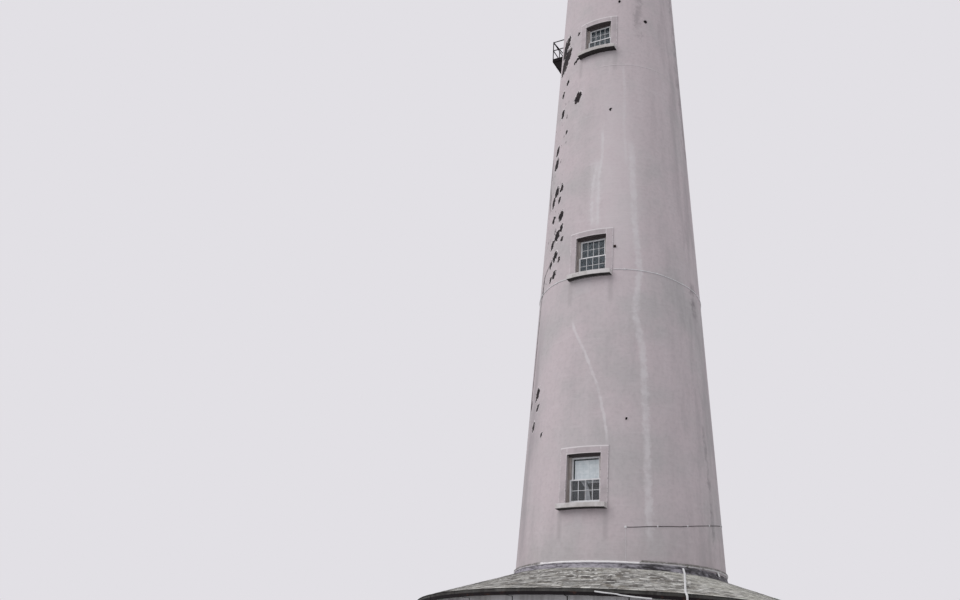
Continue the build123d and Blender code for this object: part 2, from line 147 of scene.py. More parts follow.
class Amount:
    """A number in a material, so that shader maths reads as an expression."""

    def __init__(self, finish, socket):
        self.finish = finish
        self.socket = socket

    def maths(self, operation, *values):
        node = self.finish.node("Math", {"operation": operation}, dict(enumerate(values)))
        return Amount(self.finish, node.outputs[0])

    __add__, __radd__ = both_ways("ADD")
    __sub__, __rsub__ = both_ways("SUBTRACT")
    __mul__, __rmul__ = both_ways("MULTIPLY")
    __truediv__, __rtruediv__ = both_ways("DIVIDE")
    __gt__, __lt__ = both_ways("GREATER_THAN")
    least = both_ways("MINIMUM")[0]
    most = both_ways("MAXIMUM")[0]

    def __neg__(self):
        return self * -1.0

    def __abs__(self):
        return self.maths("ABSOLUTE", self)

    def root(self):
        return self.maths("SQRT", self)

    def clamp(self):
        return self.most(0.0).least(1.0)

    def part(self):
        """What is left above the whole number below."""
        return self.maths("FRACT", self)

    def rise(self, low, high):
        """0 below low, 1 above high and a smooth step between. Low may be the larger."""
        node = self.finish.node("MapRange", {"interpolation_type": "SMOOTHSTEP"},
                                {0: self, 1: low, 2: high, 3: 0.0, 4: 1.0})
        return Amount(self.finish, node.outputs[0])

    def between(self, low, high, soft):
        """1 between two values, with soft ends."""
        return self.rise(low - soft, low + soft) * self.rise(high + soft, high - soft)


class Tree:
    """The nodes of a material or a world."""

    def __init__(self, owner):
        owner.use_nodes = True
        self.tree = owner.node_tree
        self.tree.nodes.clear()

    def node(self, kind, settings=None, feeds=None):
        node = self.tree.nodes.new("ShaderNode" + kind)
        for key, value in (settings or {}).items():
            if key == "stops":
                self.set_stops(node.color_ramp, value)
            elif key == "points":
                self.set_points(node.mapping, value)
            else:
                setattr(node, key, value)
        for key, value in (feeds or {}).items():
            if isinstance(value, Amount):
                value = value.socket
            if isinstance(value, bpy.types.NodeSocket):
                self.tree.links.new(value, node.inputs[key])
            else:
                node.inputs[key].default_value = value
        return node

    @staticmethod
    def set_stops(ramp, stops):
        while len(ramp.elements) < len(stops):
            ramp.elements.new(0.5)
        for element, (place, shade) in zip(ramp.elements, stops):
            element.position = place
            element.color = Tree.flat(shade)

    @staticmethod
    def set_points(mapping, points):
        line = mapping.curves[0]
        while len(line.points) < len(points):
            line.points.new(0.5, 0.5)
        for point, place in zip(line.points, points):
            point.location = place
            point.handle_type = "VECTOR"
        mapping.update()

    @staticmethod
    def flat(shade):
        """A socket as it is, a paint chip's or a property's colour with its alpha."""
        if isinstance(shade, bpy.types.NodeSocket):
            return shade
        return (*(tint(*shade) if isinstance(shade, tuple) else shade), 1.0)


class Finish(Tree):
    """One material, the nodes that make it and the shade laid so far."""

    def __init__(self, name):
        self.material = bpy.data.materials.new(name)
        super().__init__(self.material)
        self.coordinates = self.node("TexCoord").outputs["Object"]
        self.shade = None

    def place(self):
        parts = self.node("SeparateXYZ", None, {0: self.coordinates}).outputs
        return [Amount(self, part) for part in parts]

    def height(self):
        return self.place()[2]

    def radius(self):
        """Distance from the axis."""
        x, y = self.place()[:2]
        return (x * x + y * y).root()

    def vector(self, x, y, z):
        return self.node("CombineXYZ", None, {0: x, 1: y, 2: z}).outputs[0]

    def sums(self, operation, *vectors):
        return self.node("VectorMath", {"operation": operation}, dict(enumerate(vectors)))

    def grain(self, scale, detail=4.0, roughness=0.6, where=None):
        node = self.node("TexNoise", None, {"Vector": where or self.coordinates, "Scale": scale,
                                            "Detail": detail, "Roughness": roughness})
        return Amount(self, node.outputs[0])

    def streaked(self, along, across, up, detail=4.0, roughness=0.6):
        """Noise on the object's coordinates, each scaled on its own."""
        where = self.sums("MULTIPLY", self.coordinates, (along, across, up)).outputs[0]
        return self.grain(1.0, detail, roughness, where)

    def line(self, value, points):
        """A number that follows a line through points as the value grows, both from 0 to 1."""
        return Amount(self, self.node("FloatCurve", {"points": points}, {"Value": value}).outputs[0])

    def round_line(self, azimuth, points):
        """The same with the azimuth in degrees as the value."""
        return self.line((azimuth + 180) / 360, points)

    def blend(self, share, first, second):
        """A colour between two others."""
        feeds = {0: share, 6: self.flat(first), 7: self.flat(second)}
        return self.node("Mix", {"data_type": "RGBA"}, feeds).outputs[2]

    def base(self, share, first, second):
        """Starts the shade."""
        self.shade = self.blend(share, first, second)

    def lay(self, share, colour):
        """Lays a colour over the shade."""
        self.shade = self.blend(share, self.shade, colour)

    def facing(self):
        """The face's own direction."""
        return self.node("NewGeometry").outputs["True Normal"]

    def toward(self, axis):
        """How far the face's own direction points along X, Y or Z, from -1 to 1."""
        return Amount(self, self.node("SeparateXYZ", None, {0: self.facing()}).outputs["XYZ".index(axis)])

    def turn(self):
        """Azimuth in degrees."""
        x, y = self.place()[:2]
        return x.maths("ARCTAN2", x, -y) * math.degrees(1)

    def round_wall(self, batter=BATTER):
        """The direction of a round wall on its flat strips, and each other face's own."""
        x, y = self.place()[:2]
        across = self.sums("NORMALIZE", self.vector(x, y, self.radius() * batter)).outputs[0]
        own = self.facing()
        match = Amount(self, self.sums("DOT_PRODUCT", across, own).outputs["Value"])
        node = self.node("Mix", {"data_type": "VECTOR"}, {0: match > 0.9975, 4: own, 5: across})
        return node.outputs[1]

    def surface(self, shade, roughness, fixed=None):
        feeds = {"Base Color": shade, "Roughness": roughness, **(fixed or {})}
        return self.node("BsdfPrincipled", None, feeds).outputs[0]

    def mix(self, share, first, second):
        """A shader between two others."""
        return self.node("MixShader", None, {0: share, 1: first, 2: second}).outputs[0]

    def done(self, shader):
        self.node("OutputMaterial", None, {0: shader})
        return self.material

    def painted(self, roughness, height, depth, strength, under=None, fixed=None):
        """The material in the shade laid so far, with its bumps."""
        feeds = {"Height": height, "Distance": depth, "Strength": strength}
        if under is not None:
            feeds["Normal"] = under
        normal = self.node("Bump", None, feeds).outputs[0]
        return self.done(self.surface(self.shade, roughness, {"Normal": normal, **(fixed or {})}))


# Finishes

# Where the coat has peeled: height, azimuth and half length of each patch
PEELED = [
    (21.15, -18.3, 0.24), (21.05, -20.0, 0.15), (21.83, -41.4, 0.16), (20.88, -39.2, 0.19),
    (19.87, -30.3, 0.10), (22.25, -34.4, 0.13), (24.33, -21.9, 0.07), (20.19, 13.0, 0.07),
    (25.33, 20.9, 0.07), (19.31, -43.5, 0.20), (18.73, -43.2, 0.24), (17.45, -31.2, 0.16),
    (17.41, -38.3, 0.22), (16.99, -33.1, 0.12), (17.07, -43.0, 0.20), (16.25, -29.5, 0.20),
    (15.73, -27.9, 0.15), (16.30, -40.0, 0.16), (15.51, -32.8, 0.22), (15.26, -26.3, 0.10),
    (15.23, -38.7, 0.17), (14.68, -33.3, 0.20), (14.50, -27.9, 0.11), (14.48, -38.5, 0.15),
    (13.97, -32.7, 0.15), (13.87, -37.1, 0.12), (9.79, -42.2, 0.20), (9.29, -40.6, 0.12),
    (9.56, -54.0, 0.15), (8.71, -45.2, 0.16), (8.28, -33.3, 0.08), (8.51, 24.2, 0.05),
    (24.06, -48.0, 0.27), (24.18, -45.0, 0.40), (24.31, -41.0, 0.32), (24.43, -38.0, 0.15),
    (23.22, -49.0, 0.24), (23.34, -46.0, 0.38), (23.46, -42.0, 0.44), (23.60, -38.0, 0.34),
    (23.73, -34.5, 0.16), (22.98, -25.2, 0.08), (23.03, -22.6, 0.10), (23.08, -19.8, 0.08),
]
# How far a bare patch leans as it rises, and its width as a share of its height
LEAN = 0.22
WIDTH = 0.62
# Lines down the wall: height and azimuth of their points, half width and strength
RUNS = [
    ([(18.6, 30.0), (15.43, 31.4), (13.69, 33.9), (12.06, 30.4), (10.80, 34.6), (9.27, 35.3),
      (7.91, 35.4), (5.02, 35.8)], 0.115, 0.62),
    ([(11.9, -11.0), (11.59, -9.4), (10.79, -1.6), (9.57, 7.5), (8.52, 11.8), (7.86, 13.4)], 0.05, 0.6),
    ([(19.3, 7.0), (18.3, 7.4), (17.3, 4.6), (16.7, 5.0), (15.4, 4.6)], 0.05, 0.55),
    ([(17.7, 2.4), (17.2, 0.6), (16.4, -0.2), (15.4, 0.4)], 0.05, 0.5),
    ([(18.0, 3.0), (17.0, 2.3), (15.4, 2.2)], 0.19, 0.45),
    ([(22.1, 24.0), (21.0, 25.2), (19.4, 24.2), (17.8, 26.0)], 0.05, 0.3),
]
STAINS = [
    ([(28.4, 97.0), (25.4, 99.0), (22.4, 97.0), (19.0, 99.0)], 0.45, 0.4),
    ([(13.7, 81.0), (13.2, 80.5), (12.5, 81.5)], 0.2, 0.5),
    ([(8.7, 79.0), (6.5, 81.0), (4.7, 80.0)], 0.10, 0.35),
    ([(27.0, 38.0), (25.8, 40.0), (23.4, 38.5)], 0.16, 0.3),
]
# Cracks, painted as dark lines of shadow where the render stands off: height and azimuth of their points,
# half width and strength
CRACKS = [
    ([(14.5, -40.0), (14.2, -49.0), (13.7, -50.5), (13.3, -53.0), (10.1, -56.0), (9.4, -55.5)], 0.05, 0.95),
    ([(19.2, -56.0), (18.6, -56.5), (18.1, -57.5), (17.5, -51.5), (16.9, -51.0)], 0.05, 0.9),
]
SHAFT_TOP = 28.6
BOARD_WIDTH = 0.16
# Azimuth and height of the middle of the mortar fillet, and where it has been made good
FILLET = [(-180, 4.262), (-24, 4.262), (29.9, 4.262), (30.4, 4.295), (48, 4.318), (65, 4.345), (78, 4.368),
          (110, 4.400), (145, 4.320), (180, 4.262)]
MADE_GOOD = (-24, 30)


def down_the_wall(finish, azimuth, radius, height, wobble, points, half_width):
    """1 on a line down the wall, 0 away from it."""
    ends = [level for level, angle in points]
    places = sorted((level / SHAFT_TOP, (angle + 180) / 360) for level, angle in points)
    middle = finish.line(height / SHAFT_TOP, [(0.0, places[0][1]), *places, (1.0, places[-1][1])])
    aside = abs(azimuth - (middle * 360 - 180)) * radius * math.radians(1)
    across = (aside + wobble * half_width).rise(half_width * 1.4, half_width * 0.35)
    return across * height.between(min(ends), max(ends), 0.25)


def tower_weather(finish, look, azimuth, radius, z, streaky, blotch, ragged):
    """Lays the tower's dirt, painted shade on its left and right sides, runs and stains, and gives the level
    seam left by a lift of render.
    """
    x = finish.place()[0]
    top_dirt = z.rise(25.9, 28.6) * finish.streaked(3.5, 3.5, 0.12, 3.0, 0.5).rise(0.45, 0.7)
    finish.lay(top_dirt * 0.35, (146, 145, 136))
    # Painted shade on the side away from the lamp, broken into streaks
    side_shade_and_dirt = azimuth.between(60.0, 150.0, 30.0) * streaky.rise(0.42, 0.62)
    finish.lay(side_shade_and_dirt * 0.2, (124, 120, 124))
    # Painted shade on the tower's left edge, broken into greyish blotches
    left_shade_and_damp = azimuth.between(-100.0, -38.0, 10.0) * z.between(4.0, 12.0, 2.0)
    finish.lay(left_shade_and_damp * (streaky.rise(0.35, 0.6) * 0.3 + 0.15), (138, 132, 137))
    washed = azimuth.between(2.0, 34.0, 10.0) * z.between(13.5, 21.0, 2.5)
    finish.lay(washed * blotch.rise(0.3, 0.55) * 0.45, (218, 208, 212))
    foot = z.rise(5.4, 4.3) * finish.grain(1.6).rise(0.4, 0.65)
    finish.lay(foot * 0.1, (132, 128, 122))
    for row in WINDOWS.values():
        sill, half = row["sill"], row["width"] / 2
        under = z.between(sill - 0.55, sill, 0.08)
        beside = abs(x).rise(half + 0.35, half)
        finish.lay(under * beside * streaky.rise(0.4, 0.6) * 0.3, (196, 193, 196))
        drip = z.between(sill - 0.9, sill, 0.1) * abs(abs(x) - (half + 0.17)).rise(0.12, 0.02)
        finish.lay(drip * (streaky * 0.5), (132, 127, 129))
    patchy = finish.grain(4.0, 3.0).rise(0.3, 0.62)
    for points, half_width, strength in RUNS:
        run = down_the_wall(finish, azimuth, radius, z, ragged * 2.4, points, half_width)
        finish.lay(run * strength * (patchy * 0.65 + 0.35), look.runs)
    blotched = finish.grain(2.4, 4.0, 0.65).rise(0.36, 0.6)
    for points, half_width, strength in STAINS:
        stain = down_the_wall(finish, azimuth, radius, z, ragged * 3.0, points, half_width)
        finish.lay(stain * strength * blotched, (92, 88, 92))
    lift = abs(z - (22.24 - azimuth * 0.0006) + ragged * 0.02)
    seam = lift.rise(0.035, 0.008) * azimuth.between(4.0, 58.0, 6.0)
    finish.lay(seam * 0.35, (214, 208, 211))
    return seam


def tower_damage(finish, look, azimuth, radius, z, ragged):
    """Lays the bare patches, a painted highlight round their rims and the cracks painted as dark shadow
    lines, and gives the rims and the bare wall.
    """
    arc = azimuth * radius * math.radians(1)
    spot = finish.vector((arc - z * LEAN + ragged * 0.2) / WIDTH, z + ragged * 0.14, 0.0)
    gap = None
    for level, angle, reach in PEELED:
        at = math.radians(angle) * (SHAFT_FOOT - BATTER * level)
        centre = ((at - level * LEAN) / WIDTH, level, 0.0)
        far = Amount(finish, finish.sums("DISTANCE", spot, centre).outputs["Value"]) / reach
        gap = far if gap is None else gap.least(far)
    flaking = azimuth.between(-58.0, -26.0, 5.0) * z.between(13.2, 22.4, 0.6)
    loose = finish.streaked(9.0, 9.0, 3.2, 3.0)
    chips = (loose + flaking * 0.2).rise(0.865, 0.885) * flaking
    torn = finish.grain(13.0, 3.0, 0.7) - 0.5
    gap = gap + torn * 1.7 + (loose - 0.5) * 1.1
    bare = gap.rise(1.06, 0.94).most(chips)
    # A painted highlight round each patch, where the coat's edge is also raised in the bumps
    rim_highlight = gap.between(1.02, 1.3, 0.1)
    finish.lay(rim_highlight * 0.75, (228, 221, 224))
    # Cracks are painted as dark shadow lines in the bare wall's colour
    for points, half_width, strength in CRACKS:
        crack_shadow = down_the_wall(finish, azimuth, radius, z, ragged * 3.0, points, half_width)
        bare = bare.most(crack_shadow * strength)
    finish.lay(bare, finish.blend(finish.grain(5.0, 4.0, 0.7).rise(0.45, 0.65), look.bare, (56, 47, 47)))
    return rim_highlight, bare


def render_coat(name, look, marked):
    """Mottled and trowelled render, with painted shade in the window reveals, inside the rooms and on faces
    that point down. The marked coat has the tower's runs, painted shade at its sides, cracks painted as dark
    shadow lines and bare patches with painted highlights round them.
    """
    finish = Finish(name)
    z, radius = finish.height(), finish.radius()
    blotch = finish.grain(0.45)
    streaky = finish.streaked(2.2, 2.2, 0.34)
    fine = finish.grain(9.0, 5.0, 0.65)
    trowel = finish.streaked(1.3, 1.3, 9.0, 3.0, 0.5)
    finish.base(blotch.rise(0.38, 0.68), look.coat, look.coat_cool)
    finish.lay(streaky.rise(0.52, 0.75) * 0.16, (150, 144, 148))
    finish.lay(streaky.rise(0.46, 0.25) * 0.2, (210, 202, 206))
    finish.lay(fine.rise(0.4, 0.75) * 0.2, (146, 139, 143))
    finish.lay(trowel.rise(0.55, 0.75) * 0.14, (212, 205, 209))
    height = trowel * 0.6 + fine * 0.25 + blotch * 0.6
    depth = SHAFT_FOOT - z * BATTER - radius
    inside = depth.rise(0.02, 0.05)
    if marked:
        azimuth = finish.turn()
        ragged = finish.grain(7.0, 4.0, 0.7) - 0.5
        seam = tower_weather(finish, look, azimuth, radius, z, streaky, blotch, ragged)
        rim_highlight, bare = tower_damage(finish, look, azimuth, radius, z, ragged)
        height = height + seam * 1.6 + rim_highlight * 0.8 - bare * 3.0
    # Painted shade with dirt in the window reveals
    finish.lay(inside, finish.blend(streaky.rise(0.3, 0.7), look.reveal, (180, 173, 171)))
    # Painted shade inside the rooms
    finish.lay(depth.rise(0.42, 0.47) * 0.8, (62, 57, 54))
    # Painted shade with dirt on faces that point down, on the marked coat everywhere and otherwise only in
    # the openings
    below = finish.toward("Z").rise(-0.3, -0.8)
    finish.lay(below if marked else below * inside, look.soffit)
    return finish.painted(0.82 + fine * 0.12, height, 0.012, 0.8, finish.round_wall())


def surround_coat(look):
    """Coat on the raised bands round the windows, with a painted highlight along the upper arris, painted
    shade on faces that point down, and chipped at the edges.
    """
    finish = Finish("surround_coat")
    x, z = finish.place()[0], finish.height()
    fine = finish.grain(14.0, 5.0, 0.65)
    broad = finish.grain(2.2)
    finish.base(broad.rise(0.35, 0.7), (190, 180, 184), (172, 164, 167))
    finish.lay(fine.rise(0.4, 0.75) * 0.2, (142, 136, 138))
    highlight_wobble = finish.grain(10.0, 3.0) * 0.02
    chips = finish.grain(16.0, 3.0, 0.7)
    for row in WINDOWS.values():
        top, head, half = row["head"] + SURROUND, row["head"], row["width"] / 2
        # A painted highlight along the band's upper arris
        finish.lay((z + highlight_wobble).between(top - 0.028, top + 0.02, 0.012) * 0.75, (226, 222, 224))
        lip = z.between(head - 0.01, head + 0.02, 0.008) * abs(x).rise(half + 0.03, half)
        finish.lay(lip * 0.6, (222, 217, 219))
        band = z.between(row["sill"] + SILL_HEIGHT, top, 0.02)
        outer = abs(abs(x) - (half + SURROUND)).rise(0.03, 0.008)
        inner = abs(abs(x) - half).rise(0.03, 0.006)
        worn = (outer + inner).least(1.0) * band
        finish.lay(worn * chips.rise(0.42, 0.52) * 0.65, (221, 216, 218))
        finish.lay(worn * chips.rise(0.60, 0.64) * 0.8, (96, 86, 88))
    # Painted shade with dirt on faces that point down
    finish.lay(finish.toward("Z").rise(-0.3, -0.8) * 0.8, look.soffit)
    return finish.painted(0.84, fine * 0.5 + broad + chips * 0.3, 0.01, 0.7)


def sill_stone():
    """Painted stone sills, stained black along the drip, with painted shade and stain on the undersides and a
    painted highlight along the top edge.
    """
    finish = Finish("sill_stone")
    z, radius = finish.height(), finish.radius()
    fine = finish.grain(22.0, 5.0, 0.7)
    broad = finish.grain(3.0)
    finish.base(broad.rise(0.35, 0.65), (210, 206, 207), (184, 180, 178))
    finish.lay(fine.rise(0.55, 0.7) * 0.5, (124, 118, 114))
    grime = finish.blend(fine.rise(0.35, 0.65), (22, 19, 20), (48, 42, 42))
    front = abs(finish.toward("X")).rise(0.75, 0.65)
    outer = (radius - (SHAFT_FOOT - z * BATTER) + (broad - 0.5) * 0.05).rise(0.02, 0.07)
    # Painted shade and stain on the undersides, darkest toward the outer edge
    finish.lay(finish.toward("Z").rise(-0.2, -0.7) * (outer * 0.6 + 0.4), grime)
    for number, black in ((1, 0.012), (2, 0.0), (3, 0.012)):
        low = WINDOWS[number]["sill"]
        edge = z + (fine - 0.5) * 0.03
        finish.lay(edge.between(low - 0.05, low + black, 0.008) * front, grime)
        # A painted highlight along the sill's top edge
        finish.lay(edge.between(low + 0.140, low + 0.19, 0.008) * 0.5, (224, 220, 222))
    return finish.painted(0.85, fine + broad, 0.006, 0.8)


def box_frame(look):
    """Old brown-grey paint of the box frames in the reveal colour, which is partly painted shade, with
    painted shade under the head and on faces that point down.
    """
    finish = Finish("box_frame")
    brush = finish.streaked(60.0, 60.0, 6.0)
    dirt = finish.grain(5.0)
    finish.base(dirt.rise(0.35, 0.7), look.reveal, (166, 159, 156))
    finish.lay(brush.rise(0.6, 0.72) * 0.4, (86, 78, 76))
    # Painted shade with dirt on faces that point down
    finish.lay(finish.toward("Z").rise(-0.3, -0.9), look.soffit)
    z = finish.height()
    # Painted shade on the frame just under each head
    for row in WINDOWS.values():
        finish.lay(z.between(row["head"] - 0.062, row["head"], 0.004), look.soffit)
    return finish.painted(0.6 + dirt * 0.2, brush + dirt * 0.5, 0.002, 0.7)


def white_joinery(look):
    """White gloss paint on wood, gone dull, with dirt in its grain and painted shade on faces that point
    down.
    """
    finish = Finish("white_joinery")
    brush = finish.streaked(60.0, 60.0, 6.0)
    dirt = finish.grain(5.0)
    finish.base(dirt.rise(0.45, 0.75) * 0.45, look.white_paint, (168, 168, 166))
    finish.lay(brush.rise(0.62, 0.72) * 0.3, (140, 136, 130))
    # Painted shade on faces that point down
    finish.lay(finish.toward("Z").rise(-0.3, -0.9) * 0.5, (112, 110, 112))
    return finish.painted(0.42 + dirt * 0.25, brush, 0.0015, 0.6)


def low_wall_coat(look):
    """Whitewashed render of the ring building, with painted shade in its window reveals."""
    finish = Finish("low_wall_coat")
    z, radius = finish.height(), finish.radius()
    broad = finish.grain(0.8)
    fine = finish.grain(12.0, 5.0, 0.7)
    runs = finish.streaked(3.4, 3.4, 0.3)
    finish.base(broad.rise(0.4, 0.7), look.wall_white, (190, 189, 188))
    finish.lay(fine.rise(0.5, 0.75) * 0.25, (158, 155, 152))
    finish.lay((z + broad * 0.5).rise(0.75, 0.15) * 0.55, (128, 126, 112))
    finish.lay(z.rise(2.45, 3.0) * runs.rise(0.42, 0.62) * 0.45, (128, 127, 124))
    finish.lay(z.between(0.35, 0.95, 0.08) * runs.rise(0.5, 0.66) * 0.25, (146, 144, 138))
    # Painted shade in the window reveals
    finish.lay((5.86 - radius).rise(0.0, 0.04) * 0.4, (150, 144, 140))
    return finish.painted(0.86, fine * 0.6 + broad + runs * 0.3, 0.012, 0.8, finish.round_wall(0.0))


def slate_finish(name, look, own_tone):
    """Weathered slate with a tone for each slate, painted shadow lines and painted highlights streaked along
    the courses, pale growth near the tower, a painted sky reflection on the right side, white flecks, and
    painted shade on faces that do not face up.
    """
    finish = Finish(name)
    x, y = finish.place()[:2]
    azimuth, radius = finish.turn(), finish.radius()
    if own_tone:
        tone = Amount(finish, finish.node("Attribute", {"attribute_name": "tone"}).outputs["Fac"])
    else:
        tone = finish.grain(3.0, 1.0, 0.55)

    def round_the_roof(along, up):
        return finish.vector(x / radius * along, y / radius * along, radius * up)

    layers = finish.streaked(14.0, 14.0, 30.0, 5.0)
    growth = finish.grain(3.5, 4.0, 0.65)
    shadow_and_glint_streaks = finish.grain(1.0, 6.0, 0.75, round_the_roof(9.0, 3.6))
    cells = finish.node("TexVoronoi", None, {"Vector": round_the_roof(30.0, 7.0), "Scale": 1.0})
    flecks = Amount(finish, cells.outputs["Distance"])
    finish.shade = finish.node("ValToRGB", {"stops": [
        (0.0, (92, 89, 87)), (0.25, (134, 131, 127)), (0.5, look.slate), (0.8, (188, 187, 184)),
        (1.0, (218, 217, 213))]}, {0: tone}).outputs[0]
    finish.lay(growth.rise(0.45, 0.66) * 0.4, (136, 126, 108))
    finish.lay(layers.rise(0.52, 0.75) * 0.4, (78, 74, 70))
    # Painted shadow lines under the courses, then painted highlights mixed with pale growth along them
    finish.lay(shadow_and_glint_streaks.rise(0.52, 0.58) * 0.6, (58, 53, 50))
    finish.lay(shadow_and_glint_streaks.rise(0.47, 0.40) * 0.55, (216, 215, 210))
    # Painted sky reflection on the right side, and pale growth near the tower
    pale = (azimuth.between(46.0, 125.0, 14.0) * 0.95 + radius.rise(3.9, 3.5) * 0.6).clamp()
    finish.lay(pale * growth.rise(0.34, 0.55) * 0.8, look.lichen)
    near = radius.rise(6.2, 4.2) * 0.6 + 0.4
    sparse = finish.grain(4.0, 2.0, 0.55).rise(0.5, 0.54)
    finish.lay(flecks.rise(0.40, 0.28) * sparse * near, (238, 237, 234))
    # Painted shade on faces that do not face up: slate edges and the eave's edge
    finish.lay(finish.toward("Z").rise(0.5, 0.2) * 0.85, (38, 35, 34))
    return finish.painted(0.72 + growth * 0.2, layers + growth * 0.4 + shadow_and_glint_streaks, 0.004, 0.9)


def lead_sheet(look):
    """Dull lavender lead, blotched almost black here and there and darker round the right side, with a
    painted shadow line under the mortar fillet and painted shade along part of the lower edge.
    """
    finish = Finish("lead_sheet")
    z, azimuth = finish.height(), finish.turn()
    broad = finish.grain(2.4)
    torn = finish.streaked(5.0, 5.0, 12.0, 5.0, 0.7)
    age = finish.round_line(azimuth, [
        (0.0, 0.55), (0.48, 0.45), (0.52, 0.25), (0.55, 0.42), (0.58, 0.45), (0.592, 0.82), (0.612, 0.8),
        (0.622, 0.45), (0.642, 0.5), (0.655, 0.8), (0.78, 0.8), (1.0, 0.55)])
    finish.base((age + (torn - 0.5) * 2.2).rise(0.15, 0.95), (166, 162, 171), (44, 40, 44))
    finish.lay(broad.rise(0.5, 0.65) * 0.3, look.lead)
    edge = z + (finish.grain(7.0, 4.0, 0.7) - 0.5) * 0.05
    # A painted shadow line under the mortar fillet
    finish.lay(edge.between(4.205, 4.228, 0.006) * 0.7, (56, 52, 57))
    # Painted shade in the gaps under part of the apron's lower edge
    gaps = finish.streaked(3.0, 3.0, 1.0, 3.0).rise(0.44, 0.54)
    dark = edge.between(4.088, 4.132, 0.008) * gaps * azimuth.between(22.0, 46.0, 2.0)
    finish.lay(dark * 0.92, (30, 27, 30))
    return finish.painted(0.55 + broad * 0.25, broad + torn, 0.012, 0.8)


def mortar(look):
    """Rough cement: white where it has been made good, and elsewhere grey with a limewashed lower edge."""
    finish = Finish("mortar")
    z, azimuth = finish.height(), finish.turn()
    rough = finish.grain(18.0, 5.0, 0.7)
    finish.base(finish.grain(3.0, 3.0).rise(0.4, 0.6), look.mortar, (132, 128, 125))
    finish.lay(rough.rise(0.42, 0.62) * 0.8, (92, 88, 86))
    points = [((angle + 180) / 360, (level - 4.2) / 0.3) for angle, level in FILLET]
    middle = finish.round_line(azimuth, points) * 0.3 + 4.2
    above = z - middle + (rough - 0.5) * 0.02
    lime = above.rise(-0.006, -0.018) * above.rise(-0.062, -0.05)
    broken = finish.streaked(2.5, 2.5, 1.0, 3.0).rise(0.33, 0.42)
    finish.lay(lime * broken * 0.95, (226, 223, 227))
    finish.lay(azimuth.between(*MADE_GOOD, 0.8) * 0.95, (244, 242, 244))
    return finish.painted(0.88, rough, 0.01, 0.9)


def aged_iron(look):
    """Black iron with thin rust."""
    finish = Finish("aged_iron")
    broad = finish.grain(4.0)
    fine = finish.grain(40.0, 4.0, 0.7)
    finish.base(fine.rise(0.3, 0.7) * 0.4, look.iron, (46, 41, 43))
    finish.lay(broad.rise(0.54, 0.68) * fine.rise(0.35, 0.6), look.rust)
    height = fine + broad * 0.5
    return finish.painted(0.72 + fine * 0.2, height, 0.002, 0.8, fixed={"Specular IOR Level": 0.2})


def door_coat(look):
    """Dark door paint, worn pale at the foot."""
    finish = Finish("door_coat")
    z = finish.height()
    grain = finish.streaked(45.0, 45.0, 3.0)
    broad = finish.grain(3.0)
    finish.base(broad.rise(0.4, 0.7) * 0.5, look.door, (88, 94, 98))
    finish.lay(grain.rise(0.62, 0.75) * 0.6, (34, 37, 40))
    finish.lay(z.rise(0.35, 0.05) * broad.rise(0.45, 0.6), (120, 112, 100))
    return finish.painted(0.4 + broad * 0.3, grain, 0.002, 0.7)


def floor_boards(look):
    """Floor boards that run along X."""
    finish = Finish("floor_boards")
    across = finish.place()[1] / BOARD_WIDTH
    grain = finish.streaked(3.0, 40.0, 40.0)
    each = finish.node("TexWhiteNoise", {"noise_dimensions": "1D"}, {"W": across.maths("FLOOR", across)})
    finish.base(Amount(finish, each.outputs["Value"]), look.timber, (152, 128, 98))
    finish.lay(grain.rise(0.4, 0.7) * 0.5, (92, 70, 50))
    joint = abs(across.part() - 0.5).rise(0.46, 0.49)
    finish.lay(joint * 0.9, (40, 32, 26))
    return finish.painted(0.6, grain * 0.3 - joint, 0.004, 0.8)


def glass(look, name, milky):
    """Old drawn glass. In the lowest front window one pane is whitened and the others are clearer."""
    finish = Finish(name)
    x, y, z = finish.place()
    dust = finish.grain(2.6)
    finish.base(dust.rise(0.35, 0.7), look.glass, (124, 140, 150))
    if milky:
        finish.lay(z.between(5.9, 6.69, 0.004) * (y < -1.0), (252, 253, 254))
    clear = finish.surface(finish.shade, 0.02 + dust * 0.03, {"Transmission Weight": 1.0, "IOR": 1.5})
    salt = finish.surface(finish.blend(dust.rise(0.4, 0.6), (150, 165, 175), (126, 141, 152)), 0.5)
    spray = finish.grain(5.0, 4.0, 0.65).rise(0.35, 0.7)
    veil = 0.03 + spray * 0.05 + z.rise(9.0, 12.0) * (0.05 + spray * 0.08)
    clear = finish.mix(veil, clear, salt)
    if not milky:
        return finish.done(clear)
    cross = abs((x / 0.2025 + 0.5).part() - 0.5).rise(0.45, 0.49)
    level = abs((z / 0.156).part() - 0.5).rise(0.45, 0.49)
    finish.base(finish.grain(6.0).rise(0.35, 0.7), (192, 201, 206), (212, 218, 222))
    finish.lay(cross.most(level) * 0.45, (168, 177, 182))
    pane = z.between(6.69, 7.292, 0.004) * x.rise(-0.364, -0.356) * (y < -1.0)
    return finish.done(finish.mix(pane, clear, finish.surface(finish.shade, 0.35)))


def lantern_coat(look):
    """Pale paint on metal, with grime in runs below the gutter, and a bare metal dome."""
    finish = Finish("lantern_coat")
    z = finish.height()
    runs = finish.streaked(7.0, 7.0, 0.7)
    fine = finish.grain(20.0, 4.0, 0.65)
    finish.base(runs.rise(0.42, 0.68) * 0.45, look.lantern, (146, 144, 142))
    finish.lay(fine.rise(0.62, 0.72) * 0.5, (118, 96, 84))
    metal = finish.blend(runs.rise(0.35, 0.65), (122, 124, 128), (92, 94, 98))
    finish.lay(z.rise(DOME_SPRING - 0.02, DOME_SPRING + 0.02), metal)
    return finish.painted(0.5 + runs * 0.25, fine + runs, 0.003, 0.7)


